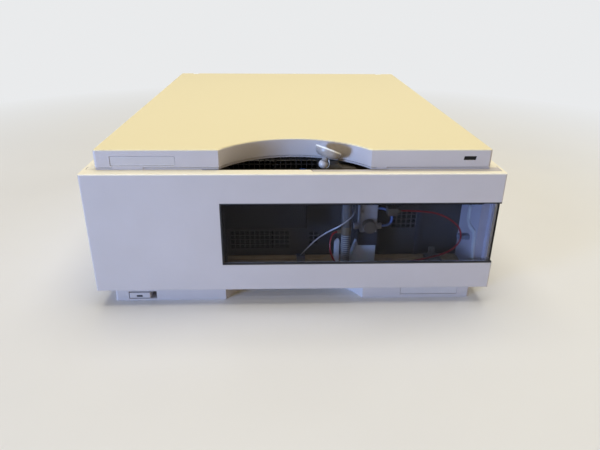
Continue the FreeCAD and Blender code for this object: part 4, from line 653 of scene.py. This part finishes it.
class DETECTOR_OT_cabinet(bpy.types.Operator):
    """Give the optics, electronics, fan and rear sockets their finishes"""
    bl_idname = "detector.cabinet"
    bl_label = "Cabinet finishes"

    def execute(self, context):
        settings = context.scene.detector_cabinet
        dress(finish("cast_aluminium", "B8B9BC", "A2A3A7", patch_mm=14, roughness=0.48, uneven=0.1,
                     grain_mm=0.9, grain_depth_mm=0.02, Metallic=1.0),
              "optical_lid", "source_lens", "slit_plate", "filter_motor", "filter_flag", "power_supply")
        dress(finish("black_anodised_casting", "17181A", "111213", patch_mm=14, roughness=0.55, uneven=0.08,
                     grain_mm=0.9, grain_depth_mm=0.02), "lamp_housing", "optical_base")
        dress(finish("fused_silica", "E8EEF4", "DDE5EE", patch_mm=10, roughness=0.05, uneven=0.02,
                     grain_mm=5.0, grain_depth_mm=0.002, Transmission_Weight=0.85, IOR=1.46),
              "flow_cell", "grating", "deuterium_lamp", "tungsten_lamp")
        dress(finish("ceramic_package", "5D4C46", "50413C", patch_mm=6, roughness=0.5, uneven=0.05,
                     grain_mm=0.4, grain_depth_mm=0.006), "diode_array")
        dress(finish("solder_masked_board", "1B5A33", "123F24", patch_mm=5, roughness=0.3, uneven=0.08,
                     grain_mm=2.5, grain_depth_mm=0.03, grain="F1"), "main_board", "array_board")
        dress(finish("plated_shell", "B2B1AD", "99978F", patch_mm=8, roughness=0.3, uneven=0.08, grain_mm=0.6,
                     grain_depth_mm=0.004, Metallic=1.0), "rear_connectors")
        dress(finish("bead_foam", "1B1B1D", "161618", patch_mm=6, roughness=0.85, uneven=0.05,
                     grain_mm=settings.bead_size, grain_depth_mm=0.3, grain="F1"), "foam_block")
        dress(finish("black_moulding", "1A1A1D", "111113", patch_mm=10, roughness=0.4, uneven=0.06,
                     grain_mm=0.7, grain_depth_mm=0.01), "fan_frame", "fan_rotor", "power_inlet")
        return {"FINISHED"}


# Fittings on the back

# Depth of the rear panel in millimetres, the way it faces, and its screws' places across and up
REAR_D = 421.0
BACKWARDS = (0.0, 1.0, 0.0)
REAR_SCREWS = ((-148.5, 24.0), (-148.5, 100.0), (148.5, 24.0), (148.5, 100.0), (-62.0, 112.0), (62.0, 112.0))

# The fan's centre, how far its screws lie from it each way, and their heads' radius, in millimetres
FAN_CENTRE = (-17.0, 66.5)
FAN_SCREW_STEP = 35.75
FAN_SCREW_RADIUS = 2.4

# The blank slot cover with its screws, and the rating label, in millimetres
COVER_THICKNESS = 1.2
COVER_FACE_D = REAR_D + COVER_THICKNESS
SLOT_COVER = ((54.0, REAR_D, 66.0), (146.0, COVER_FACE_D, 90.0))
SLOT_SCREWS = ((58.0, 78.0), (142.0, 78.0))
SLOT_SCREW_RADIUS = 2.9
LABEL_THICKNESS = 0.15
RATING_LABEL = ((-143.0, REAR_D, 84.0), (-78.0, REAR_D + LABEL_THICKNESS, 108.0))


def screw_row(name, depth, places, radius_mm, material):
    """Numbered screw heads that face backwards, on a sheet at one depth."""
    for i, (x, z) in enumerate(places, start=1):
        screw_head("%s_%d" % (name, i), (x, depth, z), BACKWARDS, radius_mm, material)


class RearSettings(bpy.types.PropertyGroup):
    screw_radius: bpy.props.FloatProperty(
        name="Screw radius", description="Radius of the panel screws' heads, in millimetres",
        default=2.9, min=1.0)


class DETECTOR_OT_rear(bpy.types.Operator):
    """Add the panel screws, the blank slot cover and the bare rating label on the back"""
    bl_idname = "detector.rear"
    bl_label = "Rear fittings"

    def execute(self, context):
        settings = context.scene.detector_rear
        plated = finish("plated_screw", "C6C5C0", "A9A8A2", patch_mm=3, roughness=0.3, uneven=0.08,
                        grain_mm=0.4, grain_depth_mm=0.004, Metallic=1.0)
        label = finish("silver_label_film", "DADBDD", "D0D1D4", patch_mm=20, roughness=0.35, uneven=0.05,
                       grain_mm=0.6, grain_depth_mm=0.004)
        cover = finish("brushed_cover_plate", "C2BFB6", "AAA69C", patch_mm=12, roughness=0.34, uneven=0.08,
                       grain_mm=0.5, grain_depth_mm=0.006, stretch=(0.08, 1.0, 1.0), Metallic=1.0)
        fan_screws = [(FAN_CENTRE[0] + across * FAN_SCREW_STEP, FAN_CENTRE[1] + upward * FAN_SCREW_STEP)
                      for across in (-1, 1) for upward in (-1, 1)]
        screw_row("panel_screw", REAR_D, REAR_SCREWS, settings.screw_radius, plated)
        screw_row("fan_screw", REAR_D, fan_screws, FAN_SCREW_RADIUS, plated)
        block("slot_cover", *SLOT_COVER, cover, "zinc_sheet", 0.3)
        screw_row("slot_screw", COVER_FACE_D, SLOT_SCREWS, SLOT_SCREW_RADIUS, plated)
        block("rating_label", *RATING_LABEL, label, "label_plate", 0.05)
        return {"FINISHED"}


# Floor, light and camera

def studio_light(name, place, target, size, watts, tint):
    """A square soft box that faces a point."""
    data = bpy.data.lights.new(name, "AREA")
    data.size = size
    data.energy = watts
    data.color = tint
    made = bpy.data.objects.new(name, data)
    made.location = place
    aim = Vector(target) - Vector(place)
    made.rotation_euler = aim.to_track_quat("-Z", "Y").to_euler()
    bpy.context.scene.collection.objects.link(made)


def camera_matrix(place, pitch, roll, yaw):
    """World matrix of a camera that looks along +Y, turned by yaw, tipped down by pitch, then rolled."""
    ahead = Vector((math.sin(yaw) * math.cos(pitch), math.cos(yaw) * math.cos(pitch), -math.sin(pitch)))
    across = Vector((math.cos(yaw), -math.sin(yaw), 0.0))
    above = across.cross(ahead)
    right = across * math.cos(roll) + above * math.sin(roll)
    up = above * math.cos(roll) - across * math.sin(roll)
    rotation = Matrix((right, up, -ahead)).transposed()
    return Matrix.Translation(place) @ rotation.to_4x4()


# Linear colours of the background that is seen, and of the soft light that the room sends from all sides
BACKDROP = (0.82, 0.83, 0.84, 1.0)
WARM_FILL = (0.26, 0.205, 0.09, 1.0)

# Distances in metres between which the floor runs into the background, and half the floor's width
FLOOR_FADE = (0.34, 1.0)
FLOOR_HALF = 6.0

# Name, setting of the power, place, target, size in metres and linear colour of each soft box
LIGHTS = (
    ("overhead_box", "key_watts", (0.0, -0.05, 1.4), (0.0, -0.05, 0.0), 1.2, (1.0, 0.96, 0.86)),
    ("front_box", "fill_watts", (-1.5, -1.3, 0.24), (0.0, -0.2, 0.08), 0.4, (0.34, 0.54, 1.0)),
    ("side_box", "side_watts", (1.7, 0.9, 0.45), (0.1, 0.0, 0.07), 0.8, (0.78, 0.87, 1.0)),
    ("room_glow", "room_watts", (0.9, -1.5, 0.6), (0.0, -0.2, 0.08), 1.2, (1.0, 0.80, 0.50)),
)

# The camera that took the photograph: place in metres, and pitch, roll and yaw in radians
CAMERA_PLACE = Vector((-0.012017, -0.613866, 0.256678))
CAMERA_TURNS = (0.422, 0.010, 0.040)


def backdrop_world():
    """A pale even background for the eye, metal and glass, and a soft warm fill for everything else."""
    world = bpy.data.worlds.new("studio")
    world.use_nodes = True
    bpy.context.scene.world = world
    tree = world.node_tree
    seen = ray_is(tree, "Camera", "Glossy", "Transmission")
    shown = blend_colours(tree, seen, WARM_FILL, BACKDROP)
    tree.links.new(shown, tree.nodes["Background"].inputs["Color"])


def fading_floor():
    """A pale matt floor that runs into the backdrop's colour further out, so no horizon shows."""
    made = finish("pale_floor", "E9EAEC", "E4E5E8", patch_mm=400, roughness=0.6, uneven=0.03, grain_mm=2.0,
                  grain_depth_mm=0.01)
    tree = made.node_tree
    here = add_node(tree, "ShaderNodeTexCoord").outputs["Object"]
    away = add_node(tree, "ShaderNodeVectorMath", {0: here}, operation="LENGTH").outputs["Value"]
    far = spread(tree, away, 0.0, 1.0, *FLOOR_FADE)
    fade = add_node(tree, "ShaderNodeMath", {0: far, 1: ray_is(tree, "Camera", "Glossy")},
                    operation="MULTIPLY").outputs[0]
    glow = add_node(tree, "ShaderNodeEmission", {"Color": BACKDROP})
    mixed = add_node(tree, "ShaderNodeMixShader", {0: fade, 1: tree.nodes["Principled BSDF"].outputs["BSDF"],
                                                   2: glow.outputs["Emission"]})
    tree.links.new(mixed.outputs["Shader"], tree.nodes["Material Output"].inputs["Surface"])
    return made


class StageSettings(bpy.types.PropertyGroup):
    lens: bpy.props.FloatProperty(
        name="Lens", description="Focal length of the camera, in millimetres", default=31.256, min=1.0)
    key_watts: bpy.props.FloatProperty(
        name="Key", description="Power of the warm soft box overhead", default=14.8, min=0.0, unit="POWER")
    side_watts: bpy.props.FloatProperty(
        name="Side", description="Power of the cool soft box behind on the right", default=9.0, min=0.0,
        unit="POWER")
    room_watts: bpy.props.FloatProperty(
        name="Room", description="Power of the weak warm light at the right",
        default=1.6, min=0.0, unit="POWER")
    fill_watts: bpy.props.FloatProperty(
        name="Fill", description="Power of the cool soft box in front", default=35.0, min=0.0, unit="POWER")


class DETECTOR_OT_stage(bpy.types.Operator):
    """Set the pale floor, the soft light and the camera"""
    bl_idname = "detector.stage"
    bl_label = "Studio"

    def execute(self, context):
        scene = context.scene
        settings = scene.detector_stage
        mesh = bpy.data.meshes.new("floor")
        corners = [(x * FLOOR_HALF, y * FLOOR_HALF, 0) for x, y in ((-1, -1), (1, -1), (1, 1), (-1, 1))]
        mesh.from_pydata(corners, [], [(0, 1, 2, 3)])
        floor = bpy.data.objects.new("floor", mesh)
        scene.collection.objects.link(floor)
        mesh.materials.append(fading_floor())
        backdrop_world()
        for name, power, place, target, size, tint in LIGHTS:
            studio_light(name, place, target, size, getattr(settings, power), tint)
        data = bpy.data.cameras.new("photo_camera")
        data.lens = settings.lens
        data.sensor_width = 36.0
        data.sensor_fit = "HORIZONTAL"
        data.clip_start = 0.01
        camera = bpy.data.objects.new("photo_camera", data)
        camera.matrix_world = camera_matrix(CAMERA_PLACE, *CAMERA_TURNS)
        scene.collection.objects.link(camera)
        scene.camera = camera
        scene.view_settings.view_transform = "Standard"
        return {"FINISHED"}


GROUPS = (
    ("case", CaseSettings, DETECTOR_OT_case),
    ("window", WindowSettings, DETECTOR_OT_window),
    ("compartment", CompartmentSettings, DETECTOR_OT_compartment),
    ("tubing", TubingSettings, DETECTOR_OT_tubing),
    ("fittings", FittingsSettings, DETECTOR_OT_fittings),
    ("cabinet", CabinetSettings, DETECTOR_OT_cabinet),
    ("rear", RearSettings, DETECTOR_OT_rear),
    ("stage", StageSettings, DETECTOR_OT_stage),
)


class DETECTOR_PT_looks(bpy.types.Panel):
    """Every group's settings with its button"""
    bl_label = "Detector Looks"
    bl_idname = "DETECTOR_PT_looks"
    bl_space_type = "VIEW_3D"
    bl_region_type = "UI"
    bl_category = "Detector"

    def draw(self, context):
        for name, settings, operator in GROUPS:
            section = self.layout.box()
            for field in settings.__annotations__:
                section.prop(getattr(context.scene, "detector_" + name), field)
            section.operator(operator.bl_idname)


def register():
    for name, settings, operator in GROUPS:
        bpy.utils.register_class(settings)
        bpy.utils.register_class(operator)
        setattr(bpy.types.Scene, "detector_" + name, bpy.props.PointerProperty(type=settings))
    bpy.utils.register_class(DETECTOR_PT_looks)


def unregister():
    bpy.utils.unregister_class(DETECTOR_PT_looks)
    for name, settings, operator in reversed(GROUPS):
        delattr(bpy.types.Scene, "detector_" + name)
        bpy.utils.unregister_class(operator)
        bpy.utils.unregister_class(settings)


def main():
    register()
    bpy.ops.detector.case()
    bpy.ops.detector.window()
    bpy.ops.detector.compartment()
    bpy.ops.detector.tubing()
    bpy.ops.detector.fittings()
    bpy.ops.detector.cabinet()
    bpy.ops.detector.rear()
    bpy.ops.detector.stage()


if __name__ == "__main__":
    main()
